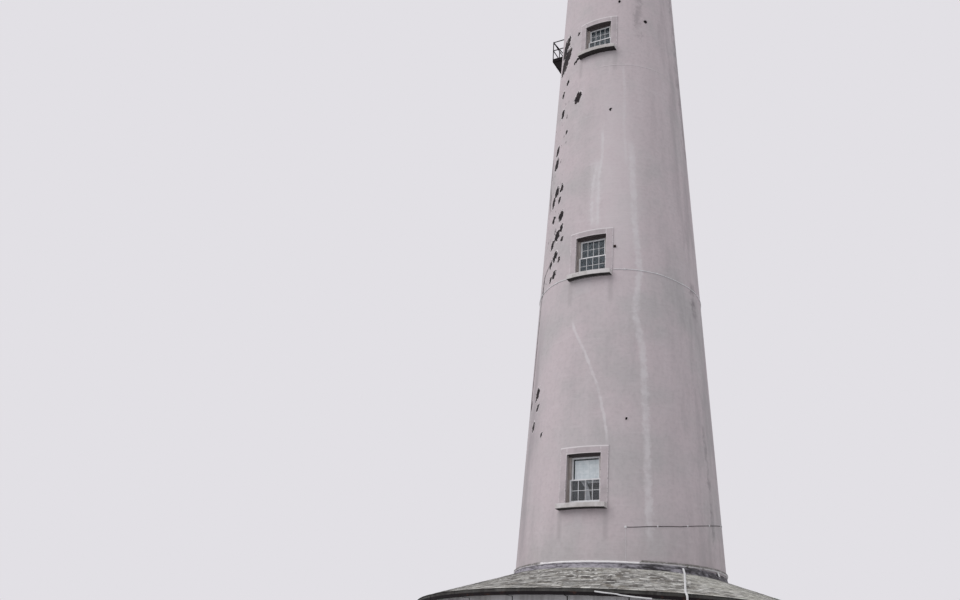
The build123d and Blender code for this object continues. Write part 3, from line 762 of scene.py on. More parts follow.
def pale_pipe(look):
    """White plastic, dulled."""
    finish = Finish("pale_pipe")
    dirt = finish.grain(7.0)
    finish.base(dirt.rise(0.45, 0.75) * 0.5, look.pipe, (170, 170, 168))
    return finish.painted(0.35 + dirt * 0.25, dirt, 0.001, 0.5)


def curtain_cloth():
    """Thin pale cloth."""
    finish = Finish("curtain_cloth")
    weave = finish.grain(160.0, 2.0, 0.5)
    finish.base(finish.grain(3.0, 3.0, 0.5).rise(0.4, 0.7) * 0.5, (248, 249, 251), (226, 228, 232))
    return finish.painted(0.85, weave, 0.001, 0.5, fixed={"Sheen Weight": 0.2})


def studio_floor(stage):
    finish = Finish("studio_floor")
    finish.base(finish.grain(0.05, 3.0, 0.5) * 0.12, stage.ground, (190, 189, 191))
    return finish.done(finish.surface(finish.shade, 0.9))


# Modelling steps

def deselect():
    bpy.ops.object.select_all(action="DESELECT")


def only(piece):
    deselect()
    piece.select_set(True)
    bpy.context.view_layer.objects.active = piece


def named(piece, name):
    piece.name = name
    piece.data.name = name
    return piece


def settle(name):
    """Names the primitive just added and applies its place, so that its object sits at the origin."""
    piece = named(bpy.context.object, name)
    only(piece)
    bpy.ops.object.transform_apply(location=True, rotation=True, scale=True)
    return piece


def block(name, *spans):
    """A block from its low and high values along X, Y and Z."""
    deselect()
    bpy.ops.mesh.primitive_cube_add(size=1.0, location=[(low + high) / 2 for low, high in spans])
    bpy.context.object.scale = [high - low for low, high in spans]
    return settle(name)


def rod(name, start, end, radius, sides, end_radius=None):
    """A round bar between two points, tapered if its end has its own radius."""
    start, end = Vector(start), Vector(end)
    run = end - start
    shape = {"vertices": sides, "location": (start + end) / 2, "depth": run.length,
             "rotation": run.to_track_quat("Z", "Y").to_euler()}
    deselect()
    if end_radius is None:
        bpy.ops.mesh.primitive_cylinder_add(radius=radius, **shape)
    else:
        bpy.ops.mesh.primitive_cone_add(radius1=radius, radius2=end_radius, **shape)
    return settle(name)


def ball(name, centre, radius, sides, rings):
    deselect()
    bpy.ops.mesh.primitive_uv_sphere_add(segments=sides, ring_count=rings, radius=radius, location=centre)
    return settle(name)


def pick(piece, kind, test):
    """Opens the piece for editing with the faces or edges that pass the test selected."""
    only(piece)
    bpy.ops.object.mode_set(mode="EDIT")
    bpy.ops.mesh.select_mode(type=kind)
    bpy.ops.mesh.select_all(action="DESELECT")
    shape = bmesh.from_edit_mesh(piece.data)
    for part in {"FACE": shape.faces, "EDGE": shape.edges}[kind]:
        if test(part):
            part.select_set(True)
    bmesh.update_edit_mesh(piece.data)


def close():
    bpy.ops.object.mode_set(mode="OBJECT")


def soften(piece, width, test=lambda edge: True):
    """Bevels the edges that pass the test, or all of them."""
    pick(piece, "EDGE", test)
    bpy.ops.mesh.bevel(offset=width, segments=1, affect="EDGES")
    close()
    return piece


def soften_front(piece, width, limit, axis=None):
    """Bevels the edges that lie before a limit on Y, or those of them that run along an axis."""
    def test(edge):
        first, second = (vertex.co for vertex in edge.verts)
        if first.y >= limit or second.y >= limit:
            return False
        return axis is None or abs(getattr(first - second, axis)) > 0.1

    return soften(piece, width, test)


def at_a_rim(edge):
    """True for the edges round the end of a rod."""
    return any(len(face.verts) > 4 for face in edge.link_faces)


def smooth(piece, angle):
    only(piece)
    bpy.ops.object.shade_smooth_by_angle(angle=math.radians(angle))
    return piece


def join(name, pieces):
    deselect()
    for piece in pieces:
        piece.select_set(True)
    bpy.context.view_layer.objects.active = pieces[0]
    if len(pieces) > 1:
        bpy.ops.object.join()
    return named(pieces[0], name)


def own_copy(pattern):
    """A copy with its own mesh."""
    copy = pattern.copy()
    copy.data = pattern.data.copy()
    bpy.context.collection.objects.link(copy)
    return copy


def copies(pattern, places):
    """Copies a piece to each place and joins the copies as one."""
    made = []
    for place in places:
        made.append(own_copy(pattern))
        made[-1].data.transform(place)
    name = pattern.name
    bpy.data.objects.remove(pattern)
    return join(name, made)


def turned(azimuth):
    return Matrix.Rotation(math.radians(azimuth), 4, "Z")


def moved(x=0.0, y=0.0, z=0.0):
    return Matrix.Translation((x, y, z))


def all_round(count, first=0.0):
    """Turns that spread copies evenly round the axis."""
    return [turned(first + 360 / count * n) for n in range(count)]


def on_wall(azimuth, radius, height):
    angle = math.radians(azimuth)
    return Vector((radius * math.sin(angle), -radius * math.cos(angle), height))


def seated(azimuth, radius, height):
    """Takes what is made at the origin, facing -Y, to a round wall."""
    return Matrix.Translation(on_wall(azimuth, radius, height)) @ turned(azimuth)


def shaft_radius(height):
    return SHAFT_FOOT - BATTER * height


def roof_height(radius):
    return EAVE_HEIGHT + ROOF_RISE * (EAVE_RADIUS - radius)


def level_at(points, place):
    """Value of a line of points at a place along it."""
    for (first, low), (second, high) in zip(points, points[1:]):
        if place <= second:
            share = (place - first) / (second - first)
            return low + (high - low) * share
    return points[-1][1]


def tube_along(name, points, thickness):
    """A round line that follows points, as a mesh."""
    line = bpy.data.curves.new(name, "CURVE")
    line.dimensions = "3D"
    line.bevel_depth = thickness / 2
    line.bevel_resolution = 2
    line.use_fill_caps = True
    spline = line.splines.new("POLY")
    spline.points.add(len(points) - 1)
    for point, place in zip(spline.points, points):
        point.co = (*place, 1.0)
    piece = bpy.data.objects.new(name, line)
    bpy.context.collection.objects.link(piece)
    only(piece)
    bpy.ops.object.convert(target="MESH")
    return smooth(bpy.context.object, 60)


def placed(piece, material, replaced=()):
    """Gives a finished piece its material and its place on the lighthouse."""
    piece.data.materials.clear()
    piece.data.materials.append(material)
    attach(piece, "root")
    if replaced:
        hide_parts(*replaced)
    return piece


def dress(material, *names):
    for name in names:
        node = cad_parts[name]
        if not node.material_slots:
            node.data.materials.append(material)
        for slot in node.material_slots:
            slot.material = material


def shared(maker, look):
    """A finish that several steps use is made once."""
    return bpy.data.materials.get(maker.__name__) or maker(look)


class LighthouseStep:
    """What all the steps have in common."""

    bl_options = {"REGISTER", "UNDO"}


class LIGHTHOUSE_OT_tower_finish(LighthouseStep, bpy.types.Operator):
    """Paints the tower, its window surrounds, sills, floors and cornice"""
    bl_idname = "lighthouse.tower_finish"
    bl_label = "Tower finish"

    def execute(self, context):
        look = context.scene.lighthouse_colours
        walls = [f"tower_wall_{tier}_{side}" for tier in range(1, 5) for side in ("front", "back")]
        dress(render_coat("render_coat", look, True), *walls, "tower_wall_5_left", "tower_wall_5_right")
        dress(render_coat("cornice_coat", look, False), "cornice", "gallery_deck")
        dress(surround_coat(look), "window_surrounds")
        dress(sill_stone(), "window_sills", "annex_sills")
        dress(floor_boards(look), "tower_floors")
        return {"FINISHED"}


# Sashes: widths of wood round the glass, and how far the bars are let into it
STILE = 0.05
BOX_FOOT = 0.05
BOX_HEAD = 0.06
BOTTOM_RAIL = 0.075
MEETING_RAIL = 0.02
LET_IN = 0.004
BAR_BEVEL = 0.005
# How much narrower than its window each sash is, and how far its glass lies behind the frame's face
LOWER_SASH = (0.094, 0.010)
UPPER_SASH = (0.18, 0.059)


def sash_panes(row, upper):
    """Span of the glass of one sash: half width, low and high, and its distance from the axis."""
    low, high = row["sill"] + SILL_HEIGHT + BOX_FOOT, row["head"] - BOX_HEAD
    middle = (low + high) / 2
    narrower, back = UPPER_SASH if upper else LOWER_SASH
    half, face = (row["width"] - narrower) / 2 - STILE, row["front"] - back
    if upper:
        return half, middle + MEETING_RAIL, high - STILE, face
    return half, low + BOTTOM_RAIL, middle - MEETING_RAIL, face


class LIGHTHOUSE_OT_window_bars(LighthouseStep, bpy.types.Operator):
    """Makes the glazing bars of the tower's windows and paints the sashes"""
    bl_idname = "lighthouse.window_bars"
    bl_label = "Window bars"

    def execute(self, context):
        look = context.scene.lighthouse_colours
        bar = context.scene.lighthouse_sizes.glazing_bar / 2
        pieces = []
        for number, row in WINDOWS.items():
            for upper in (False, True):
                half, low, high, face = sash_panes(row, upper)
                near, far = -face + 0.006, -face + 0.038
                middle = (low + high) / 2
                upright = block("upright_bar", (-bar, bar), (near, far), (low - LET_IN, high + LET_IN))
                soften_front(upright, BAR_BEVEL, near + 0.001, "z")
                upright = copies(upright, [moved(x=half / 2 * n) for n in (-1, 0, 1)])
                cross = block("cross_bar", (-half - LET_IN, half + LET_IN), (near + 0.001, far - 0.001),
                              (middle - bar, middle + bar))
                soften_front(cross, BAR_BEVEL, near + 0.002, "x")
                # The upper sash of the lowest front window is one pane
                turns = (180,) if number == 1 and upper else (0, 180)
                pieces.append(copies(join("sash_bars", [upright, cross]), [turned(turn) for turn in turns]))
        paint = shared(white_joinery, look)
        placed(join("window_bars", pieces), paint)
        dress(box_frame(look), "window_frames")
        dress(paint, "lower_sashes", "upper_sashes", "annex_window_frames",
              "annex_door_frame", "balcony_door_frame")
        dress(glass(look, "window_pane", True), "window_glass")
        dress(glass(look, "clear_pane", False), "annex_glass", "lantern_glass")
        return {"FINISHED"}


# The cloth's plane behind the lowest front window, its top, and grid steps in a fold and down the cloth
CLOTH_PLANE = -2.68
CLOTH_TOP = 6.74
FOLD_STEPS = 8
DROP_STEPS = 18
HALVINGS = 24
# Share of the curtain's drop, middle and width
CURTAIN_OUTLINE = [
    (0.0, -0.165, 0.24), (0.04, -0.142, 0.211), (0.216, -0.078, 0.125), (0.365, -0.007, 0.105),
    (0.486, -0.008, 0.115), (0.845, 0.010, 0.164), (1.0, 0.018, 0.18),
]
PELMET_OUTLINE = [(0.0, 0.16, 0.54), (1.0, 0.16, 0.54)]


def fold_depth(width, cloth, folds):
    """Depth of even folds that take up a length of cloth in a shorter width."""
    low, high = 0.0, cloth
    for _ in range(HALVINGS):
        depth = (low + high) / 2
        waves = [depth * math.sin(math.tau * n / FOLD_STEPS) for n in range(FOLD_STEPS + 1)]
        run = folds * sum(math.hypot(width / folds / FOLD_STEPS, b - a) for a, b in zip(waves, waves[1:]))
        low, high = (depth, high) if run < cloth else (low, depth)
    return low


def hung_cloth(name, cloth, drop, folds, outline):
    """Cloth of a width and a drop, gathered in folds inside an outline."""
    deselect()
    bpy.ops.mesh.primitive_grid_add(x_subdivisions=folds * FOLD_STEPS, y_subdivisions=DROP_STEPS, size=1.0)
    piece = settle(name)
    middles = [(share, middle) for share, middle, width in outline]
    widths = [(share, width) for share, middle, width in outline]
    for vertex in piece.data.vertices:
        across, down = vertex.co.x, 0.5 - vertex.co.y
        width = level_at(widths, down)
        fold = fold_depth(width, cloth, folds) * math.sin(math.tau * folds * (across + 0.5))
        vertex.co = (level_at(middles, down) + across * width, CLOTH_PLANE + fold, CLOTH_TOP - down * drop)
    return smooth(piece, 80)


class LIGHTHOUSE_OT_curtain(LighthouseStep, bpy.types.Operator):
    """Hangs the pale curtain and its short pelmet cloth behind the lowest front window"""
    bl_idname = "lighthouse.curtain"
    bl_label = "Curtain"

    def execute(self, context):
        cloth = curtain_cloth()
        curtain = hung_cloth("window_curtain", 0.34, 0.74, 5, CURTAIN_OUTLINE)
        placed(curtain, cloth)
        pelmet = hung_cloth("window_pelmet", 0.62, 0.11, 6, PELMET_OUTLINE)
        placed(pelmet, cloth)
        return {"FINISHED"}


class LIGHTHOUSE_OT_low_window_bars(LighthouseStep, bpy.types.Operator):
    """Makes the bars of the ring building's arched windows"""
    bl_idname = "lighthouse.low_window_bars"
    bl_label = "Low window bars"

    def execute(self, context):
        bar = context.scene.lighthouse_sizes.glazing_bar / 2 + 0.003
        near, far = -5.716, -5.668
        bars = []
        for x, top in ((-0.195, 2.085), (0.0, 2.11), (0.195, 2.085)):
            upright = block("low_upright", (x - bar, x + bar), (near, far), (1.12, top))
            bars.append(soften_front(upright, 0.006, near + 0.001))
        for level in (1.345, 1.825):
            cross = block("low_cross", (-0.392, 0.392), (near + 0.001, far - 0.001),
                          (level - bar, level + bar))
            bars.append(soften_front(cross, 0.006, near + 0.002))
        window = copies(join("low_window_bars", bars), [turned(bay) for bay in ANNEX_BAYS])
        placed(window, shared(white_joinery, context.scene.lighthouse_colours))
        return {"FINISHED"}


PITCH = math.atan(ROOF_RISE)


def slate_places(sizes, gauge, dice):
    """Azimuth, foot up the slope, radius and width of each slate, course by course."""
    places = []
    for course in range(sizes.slate_courses):
        foot = course * gauge - (0.02 if course == 0 else 0.0)
        radius = EAVE_RADIUS - foot * math.cos(PITCH)
        count = round(math.tau * radius / sizes.slate_width)
        start = dice.uniform(0.0, 1.0)
        cuts = sorted(start + n + dice.uniform(-0.13, 0.13) for n in range(count))
        for cut, following in zip(cuts, [*cuts[1:], cuts[0] + count]):
            middle = math.tau * (cut + following) / 2 / count
            width = math.tau * (following - cut) / count * radius - dice.uniform(0.003, 0.008)
            places.append((middle, foot + dice.uniform(-0.010, 0.008), radius, width))
    return places


class LIGHTHOUSE_OT_roof_slates(LighthouseStep, bpy.types.Operator):
    """Lays the slates of the ring building's roof in courses"""
    bl_idname = "lighthouse.roof_slates"
    bl_label = "Roof slates"

    def execute(self, context):
        sizes = context.scene.lighthouse_sizes
        look = context.scene.lighthouse_colours
        thick = sizes.slate_thickness
        gauge = (EAVE_RADIUS - ROOF_TOP_RADIUS - 0.03) / math.cos(PITCH) / sizes.slate_courses
        slate = block("slate", (-0.5, 0.5), (0.0, 1.0), (0.0, 1.0))
        soften(slate, 0.045, lambda edge: all(v.co.y < 0.01 for v in edge.verts)
               and edge.verts[0].co.x * edge.verts[1].co.x > 0)
        slate.data.attributes.new("tone", "FLOAT", "POINT")
        corners = [vertex.co.copy() for vertex in slate.data.vertices]
        dice = random.Random(1847)
        made = []
        for middle, foot, radius, width in slate_places(sizes, gauge, dice):
            reach = min(gauge * 1.7, (radius - ROOF_TOP_RADIUS - 0.02) / math.cos(PITCH))
            skew = dice.uniform(-0.006, 0.006)
            lift = thick * dice.uniform(1.0, 1.5)
            flat = []
            for corner in corners:
                along = corner.y * reach
                narrow = 1.0 - along * math.cos(PITCH) / radius
                up = corner.z * thick + lift * (1.0 - corner.y)
                flat += [corner.x * width * narrow + skew * corner.y, along, up]
            seat = moved(y=foot * math.cos(PITCH) - EAVE_RADIUS, z=EAVE_HEIGHT + foot * math.sin(PITCH))
            copy = own_copy(slate)
            copy.data.vertices.foreach_set("co", flat)
            copy.data.transform(Matrix.Rotation(middle, 4, "Z") @ seat @ Matrix.Rotation(PITCH, 4, "X"))
            shade = min(1.0, max(0.0, dice.gauss(0.5, 0.23)))
            copy.data.attributes["tone"].data.foreach_set("value", [shade] * len(corners))
            made.append(copy)
        bpy.data.objects.remove(slate)
        placed(join("roof_slates", made), slate_finish("slate", look, True))
        dress(slate_finish("slate_bed", look, False), "annex_roof_front", "annex_roof_back")
        return {"FINISHED"}


def mortar_fillet():
    """A ring against the shaft, slimmer and smoother where it has been made good."""
    level = FILLET[0][1]
    deselect()
    bpy.ops.mesh.primitive_torus_add(major_radius=shaft_radius(level), minor_radius=0.05,
                                     major_segments=240, minor_segments=12, location=(0, 0, level))
    fillet = settle("mortar_fillet")
    for vertex in fillet.data.vertices:
        place = vertex.co
        angle = math.degrees(math.atan2(place.x, -place.y))
        rough = noise.fractal(place * 2.3, 1.0, 2.0, 4)
        lumps = noise.fractal(place * 9.0, 1.0, 2.0, 3)
        fresh = MADE_GOOD[0] < angle < MADE_GOOD[1]
        stretch = 0.62 + 0.1 * rough if fresh else 1.0 + 0.25 * rough
        away = place - on_wall(angle, shaft_radius(level), level)
        middle = level_at(FILLET, angle)
        seat = on_wall(angle, shaft_radius(middle) + 0.006, middle)
        vertex.co = seat + away * stretch + away.normalized() * lumps * 0.006
    return smooth(fillet, 50)


def flashing_strap():
    """A strap that leans from the shaft over the flashing on the right."""
    azimuth, low, high = 80.5, 4.2, 4.43
    strap = block("flashing_strap", (-0.05, 0.05), (-0.004, 0.004), (-0.115, 0.115))
    pick(strap, "FACE", lambda face: abs(face.normal.y) > 0.9)
    bpy.ops.mesh.subdivide(number_cuts=2)
    close()
    soften(strap, 0.002, lambda edge: edge.is_manifold and edge.calc_face_angle(0) > 1.0)
    head = on_wall(azimuth, shaft_radius(high) + 0.004, high)
    tail = on_wall(azimuth, shaft_radius(low) + 0.075, low)
    lean = Matrix.Rotation(-math.atan2(0.071 + BATTER * (high - low), high - low), 4, "X")
    strap.data.transform(Matrix.Translation((head + tail) / 2) @ turned(azimuth) @ lean)
    return strap


def gutter_brackets():
    """Straps under the gutter with the front end turned up, each on a small plate on the wall."""
    half = 0.0125
    strap = block("gutter_brackets", (-half, half), (-6.252, -5.895), (2.988, 2.994))
    pick(strap, "FACE", lambda face: face.normal.z > 0.9)
    bpy.ops.mesh.subdivide(number_cuts=1)
    close()
    upstand = block("gutter_brackets", (-half, half), (-6.252, -6.246), (2.99, 3.076))
    plate = block("gutter_brackets", (-half, half), (-5.903, -5.896), (2.88, 2.99))
    return copies(join("gutter_brackets", [strap, upstand, plate]), all_round(24, 7.5))


class LIGHTHOUSE_OT_roof_edges(LighthouseStep, bpy.types.Operator):
    """Makes the mortar fillet, the strap over the flashing, the gutter's brackets and its broken pale lip"""
    bl_idname = "lighthouse.roof_edges"
    bl_label = "Roof edges"

    def execute(self, context):
        look = context.scene.lighthouse_colours
        pale = shared(pale_pipe, look)
        iron = shared(aged_iron, look)
        placed(mortar_fillet(), mortar(look))
        placed(flashing_strap(), pale)
        placed(gutter_brackets(), iron)
        dress(iron, "roof_gutter")
        dress(lead_sheet(look), "roof_flashing")
        # The lip is torn loose, so that it slopes down across the front
        slope = [(14.6, 3.088), (16.5, 3.066), (19.5, 3.044), (20.5, 3.020), (23.7, 2.994), (27.4, 2.978)]
        points = [on_wall(14.6 + 0.4 * n, 6.250, level_at(slope, 14.6 + 0.4 * n)) for n in range(33)]
        placed(tube_along("gutter_lip", points, 0.036), pale)
        return {"FINISHED"}


# Azimuth of the pipe's lower run, its distance from the axis there and its height above the slates
PIPE_FOOT = 35.3
PIPE_OUT = 5.940
PIPE_LIFT = 0.030


class LIGHTHOUSE_OT_roof_pipe(LighthouseStep, bpy.types.Operator):
    """Makes the round pale pipe over the slates and down the wall, with its sockets and saddles"""
    bl_idname = "lighthouse.roof_pipe"
    bl_label = "Roof pipe"

    def execute(self, context):
        paint = shared(pale_pipe, context.scene.lighthouse_colours)
        thickness = context.scene.lighthouse_sizes.pipe
        radius = thickness / 2
        top = on_wall(51.5, 3.46, roof_height(3.46) + PIPE_LIFT)
        foot = on_wall(PIPE_FOOT, 6.17, roof_height(6.17) + PIPE_LIFT)
        run = (foot - top).normalized()
        rings = [(top - run * 0.01, top + run * 0.09, 1.22), (top + run * 1.45, top + run * 1.57, 1.2),
                 (foot - run * 0.05, foot + run * 0.006, 1.15)]
        for share in (0.28, 0.72):
            at = top.lerp(foot, share)
            rings.append((at - run * 0.012, at + run * 0.012, 1.1))
        parts = [rod("pipe", top, foot, radius, 20)]
        for start, end, wider in rings:
            parts.append(soften(rod("ring", start, end, radius * wider, 20), 0.003, at_a_rim))
        parts.append(rod("elbow", top, on_wall(52.3, 3.335, 4.215), radius, 20))
        placed(smooth(join("roof_pipe", parts), 35), paint, ["roof_conduit"])
        # Below the eave it passes outside the gutter, turns back to the wall and goes down it
        turns = ((6.285, 3.105), (6.290, 3.07), (6.290, 2.94), (6.275, 2.90), (5.955, 2.60), (PIPE_OUT, 2.56),
                 (PIPE_OUT, 0.16), (5.950, 0.12), (6.010, 0.05))
        line = [foot - run * 0.03, *(on_wall(PIPE_FOOT, out, level) for out, level in turns)]
        parts = [tube_along("wall_pipe", line, thickness)]
        for level in (2.35, 1.45, 0.40):
            low, high = (on_wall(PIPE_FOOT, PIPE_OUT, level + step) for step in (-0.02, 0.02))
            parts.append(soften(rod("wall_pipe", low, high, radius * 1.18, 20), 0.003, at_a_rim))
            tail = block("wall_pipe", (-0.012, 0.012), (-0.02, 0.048), (-0.018, 0.018))
            tail.data.transform(seated(PIPE_FOOT, PIPE_OUT, level))
            parts.append(soften(tail, 0.003))
        placed(smooth(join("wall_pipe", parts), 35), paint)
        return {"FINISHED"}


# Azimuth and height of the points of the pale line round the tower, and of the dark cable
CONDUCTOR_LINE = [
    (16.4, 13.631), (29.7, 13.624), (47.0, 13.585), (65.0, 13.502), (110.0, 13.45), (200.0, 13.47),
    (290.0, 13.52), (335.0, 13.575), (341.9, 13.555),
]
CABLE_LINE = [(23.1, 5.254), (26.1, 5.254), (53.1, 5.411), (98.0, 5.849), (103.0, 5.88)]
CABLE_START = 23.3
HAIR_FOOT = 4.30
# Azimuth, height and size of the old bolts
BOLTS = [
    (46.5, 24.46, 0.055), (-21.8, 24.34, 0.03), (13.0, 20.19, 0.03), (20.9, 25.36, 0.035),
    (24.2, 8.51, 0.025),
]


def wall_line(name, line, start, end, steps, thickness):
    """A round line that lies on the shaft."""
    points = []
    for step in range(steps + 1):
        azimuth = start + (end - start) * step / steps
        height = level_at(line, azimuth)
        points.append(on_wall(azimuth, shaft_radius(height) + thickness / 2, height))
    return tube_along(name, points, thickness)


def wall_clip(azimuth, height, half_width, depth, half_height, bevel):
    """A small block that is let 4 mm into the shaft."""
    clip = block("clip", (-half_width, half_width), (-depth, 0.004), (-half_height, half_height))
    soften(clip, bevel)
    clip.data.transform(seated(azimuth, shaft_radius(height), height))
    return clip


def wall_bolt(azimuth, height, size):
    """A washer and a tapered six-sided head."""
    def ends(low, high):
        return [on_wall(azimuth, shaft_radius(height) + out, height) for out in (low, high)]

    washer = soften(rod("washer", *ends(-0.004, 0.012), size * 1.3, 18), 0.003)
    return washer, soften(rod("head", *ends(0.008, 0.05), size * 0.8, 6, size * 0.62), 0.004)


class LIGHTHOUSE_OT_wall_fittings(LighthouseStep, bpy.types.Operator):
    """Makes the pale line round the tower, the dark cable near the foot, their clips and the old bolts"""
    bl_idname = "lighthouse.wall_fittings"
    bl_label = "Wall fittings"

    def execute(self, context):
        sizes = context.scene.lighthouse_sizes
        look = context.scene.lighthouse_colours
        pale = shared(pale_pipe, look)
        iron = shared(aged_iron, look)
        start, end = CONDUCTOR_LINE[0][0], CONDUCTOR_LINE[-1][0]
        parts = [wall_line("wall_conductor", CONDUCTOR_LINE, start, end, 130, sizes.conductor)]
        for azimuth in range(24, 340, 22):
            parts.append(wall_clip(azimuth, level_at(CONDUCTOR_LINE, azimuth), 0.02, 0.034, 0.022, 0.006))
        placed(join("wall_conductor", parts), pale)
        cable = wall_line("wall_cable", CABLE_LINE, CABLE_START, CABLE_LINE[-1][0], 40, sizes.cable)
        top = CABLE_LINE[0][1]
        levels = [top - (top - HAIR_FOOT) * step / 8 for step in range(9)]
        hair = [on_wall(CABLE_START, shaft_radius(level) + sizes.cable / 2, level) for level in levels]
        placed(tube_along("wall_hair", hair, sizes.cable * 0.4), pale)
        placed(cable, iron)
        saddles = []
        for azimuth in (CABLE_START, 40.0, 58.0, 76.0, 94.0):
            wide = 0.03 if azimuth == CABLE_START else 0.012
            saddles.append(wall_clip(azimuth, level_at(CABLE_LINE, azimuth), wide, 0.026, 0.03, 0.005))
        placed(join("cable_clips", saddles), pale)
        bolts = [part for row in BOLTS for part in wall_bolt(*row)]
        placed(smooth(join("wall_bolts", bolts), 35), iron)
        # A small bracket beside the middle window
        bracket = block("wall_bracket", (-0.045, 0.045), (-0.07, 0.004), (-0.05, 0.05))
        pick(bracket, "FACE", lambda face: face.normal.y < -0.9)
        bpy.ops.transform.resize(value=(0.35, 1.0, 0.45))
        bpy.ops.transform.translate(value=(0.02, 0.0, 0.0))
        close()
        soften(bracket, 0.006)
        bracket.data.transform(seated(17.2, shaft_radius(14.495), 14.495))
        placed(bracket, iron)
        return {"FINISHED"}


BALCONY_DECK = 24.768


class LIGHTHOUSE_OT_balcony_fittings(LighthouseStep, bpy.types.Operator):
    """Paints the balcony and adds its bolts, post tops and treads"""
    bl_idname = "lighthouse.balcony_fittings"
    bl_label = "Balcony fittings"

    def execute(self, context):
        iron = shared(aged_iron, context.scene.lighthouse_colours)
        dress(iron, "balcony_platform", "balcony_brackets", "balcony_railing")
        parts = [ball("balcony_knobs", (-2.61, y, 25.632), 0.026, 12, 8) for y in (-0.60, 0.60)]
        low, high = BALCONY_DECK - 0.002, BALCONY_DECK + 0.012
        for y in (-0.5, 0.0, 0.5):
            for x in (-2.55, -2.42, -2.30):
                parts.append(soften(rod("balcony_knobs", (x, y, low), (x, y, high), 0.014, 6), 0.002))
        placed(smooth(join("balcony_knobs", parts), 35), iron)
        bar = block("balcony_treads", (-2.60, -2.24), (-0.59, -0.565), (BALCONY_DECK, BALCONY_DECK + 0.008))
        soften(bar, 0.002, lambda edge: all(v.co.z > BALCONY_DECK + 0.007 for v in edge.verts))
        placed(copies(bar, [moved(y=0.0577 * n) for n in range(21)]), iron)
        return {"FINISHED"}


def boarded(name, half_width, low, high, board, thickness):
    """Upright boards with open joints, two ledges, a knob and its plate, on the plane y = 0 and facing -Y."""
    count = max(2, round(2 * half_width / board))
    step = 2 * half_width / count
    front, middle = -thickness, (low + high) / 2
    plank = block(name, (-half_width + 0.002, -half_width + step - 0.002), (front, 0.0), (low, high))
    soften_front(plank, 0.005, front + 0.001)
    parts = [copies(plank, [moved(x=step * n) for n in range(count)])]
    for share in (0.16, 0.82):
        level = low + (high - low) * share
        ledge = block(name, (-half_width + 0.01, half_width * 0.7), (front - 0.008, front + 0.001),
                      (level - 0.028, level + 0.028))
        parts.append(soften(ledge, 0.003))
    side = half_width - 0.07
    knob = rod(name, (side, front - 0.05, middle), (side, front + 0.002, middle), 0.022, 14)
    plate = block(name, (side - 0.025, side + 0.025), (front - 0.005, front + 0.001),
                  (middle - 0.1, middle + 0.08))
    parts += [soften_front(knob, 0.005, front - 0.045), soften(plate, 0.002)]
    return join(name, parts)


class LIGHTHOUSE_OT_doors(LighthouseStep, bpy.types.Operator):
    """Puts boards, ledges and knobs on the doors"""
    bl_idname = "lighthouse.doors"
    bl_label = "Doors"

    def execute(self, context):
        board = context.scene.lighthouse_sizes.door_board
        paint = shared(door_coat, context.scene.lighthouse_colours)
        dress(paint, "annex_door", "balcony_door", "lantern_door")
        left, floor = turned(-90), LANTERN_FOOT
        for name, half_width, low, high, thickness, place in (
                ("door_boards", 0.41, 0.03, 2.06, 0.012, moved(y=-5.7088)),
                ("balcony_door_boards", 0.26, 24.79, 26.41, 0.010, left @ moved(y=-2.0088)),
                ("lantern_door_boards", 0.30, floor + 0.04, floor + 1.56, 0.008, left @ moved(y=-1.640))):
            leaf = boarded(name, half_width, low, high, board, thickness)
            leaf.data.transform(place)
            placed(leaf, paint)
        return {"FINISHED"}


# The dome's radius at the middle of a side, its rise, and the share of the full curve that it keeps
DOME_RADIUS = 1.584
DOME_RISE = 1.15
DOME_SHARE = 0.94
LANTERN_SIDES = 12


def dome_ribs():
    """A short foot drawn up the dome's corner in four steps, at each corner."""
    half_side = 180 / LANTERN_SIDES
    corner = DOME_RADIUS / math.cos(math.radians(half_side))
    outline = [(corner * math.sqrt(1 - (DOME_SHARE * n / 4) ** 2), DOME_SPRING + DOME_RISE * n / 4)
               for n in range(5)]
    foot = -outline[0][0]
    rib = block("dome_ribs", (-0.02, 0.02), (foot - 0.02, foot + 0.02), (DOME_SPRING - 0.01, DOME_SPRING))
    for (near, low), (far, high) in zip(outline, outline[1:]):
        top = max(vertex.co.z for vertex in rib.data.vertices)
        pick(rib, "FACE", lambda face: all(v.co.z > top - 0.001 for v in face.verts))
        bpy.ops.mesh.extrude_region_move(TRANSFORM_OT_translate={"value": (0, near - far, high - low)})
        close()
    return copies(rib, all_round(LANTERN_SIDES, half_side))


def ball_vent():
    """A ball with a louvred belt on its neck, with the rod above."""
    crown = LANTERN_FOOT + 5.2
    middle = crown + 0.358

    def upright(name, low, high, *shape):
        return rod(name, (0, 0, crown + low), (0, 0, crown + high), *shape)

    vent = ball("ball_vent", (0, 0, middle), 0.26, 32, 18)
    pick(vent, "FACE", lambda face: abs(face.calc_center_median().z - middle) < 0.07)
    bpy.ops.mesh.inset(thickness=0.006, depth=-0.012, use_individual=True)
    close()
    parts = [vent, upright("neck", 0.01, 0.16, 0.13, 32),
             soften(upright("collar", 0.012, 0.05, 0.165, 32), 0.006),
             soften(upright("cap", 0.60, 0.66, 0.06, 24), 0.012), upright("mast", 0.61, 1.86, 0.018, 12),
             upright("point", 1.86, 2.017, 0.022, 12, 0.002)]
    return smooth(join("ball_vent", parts), 40)


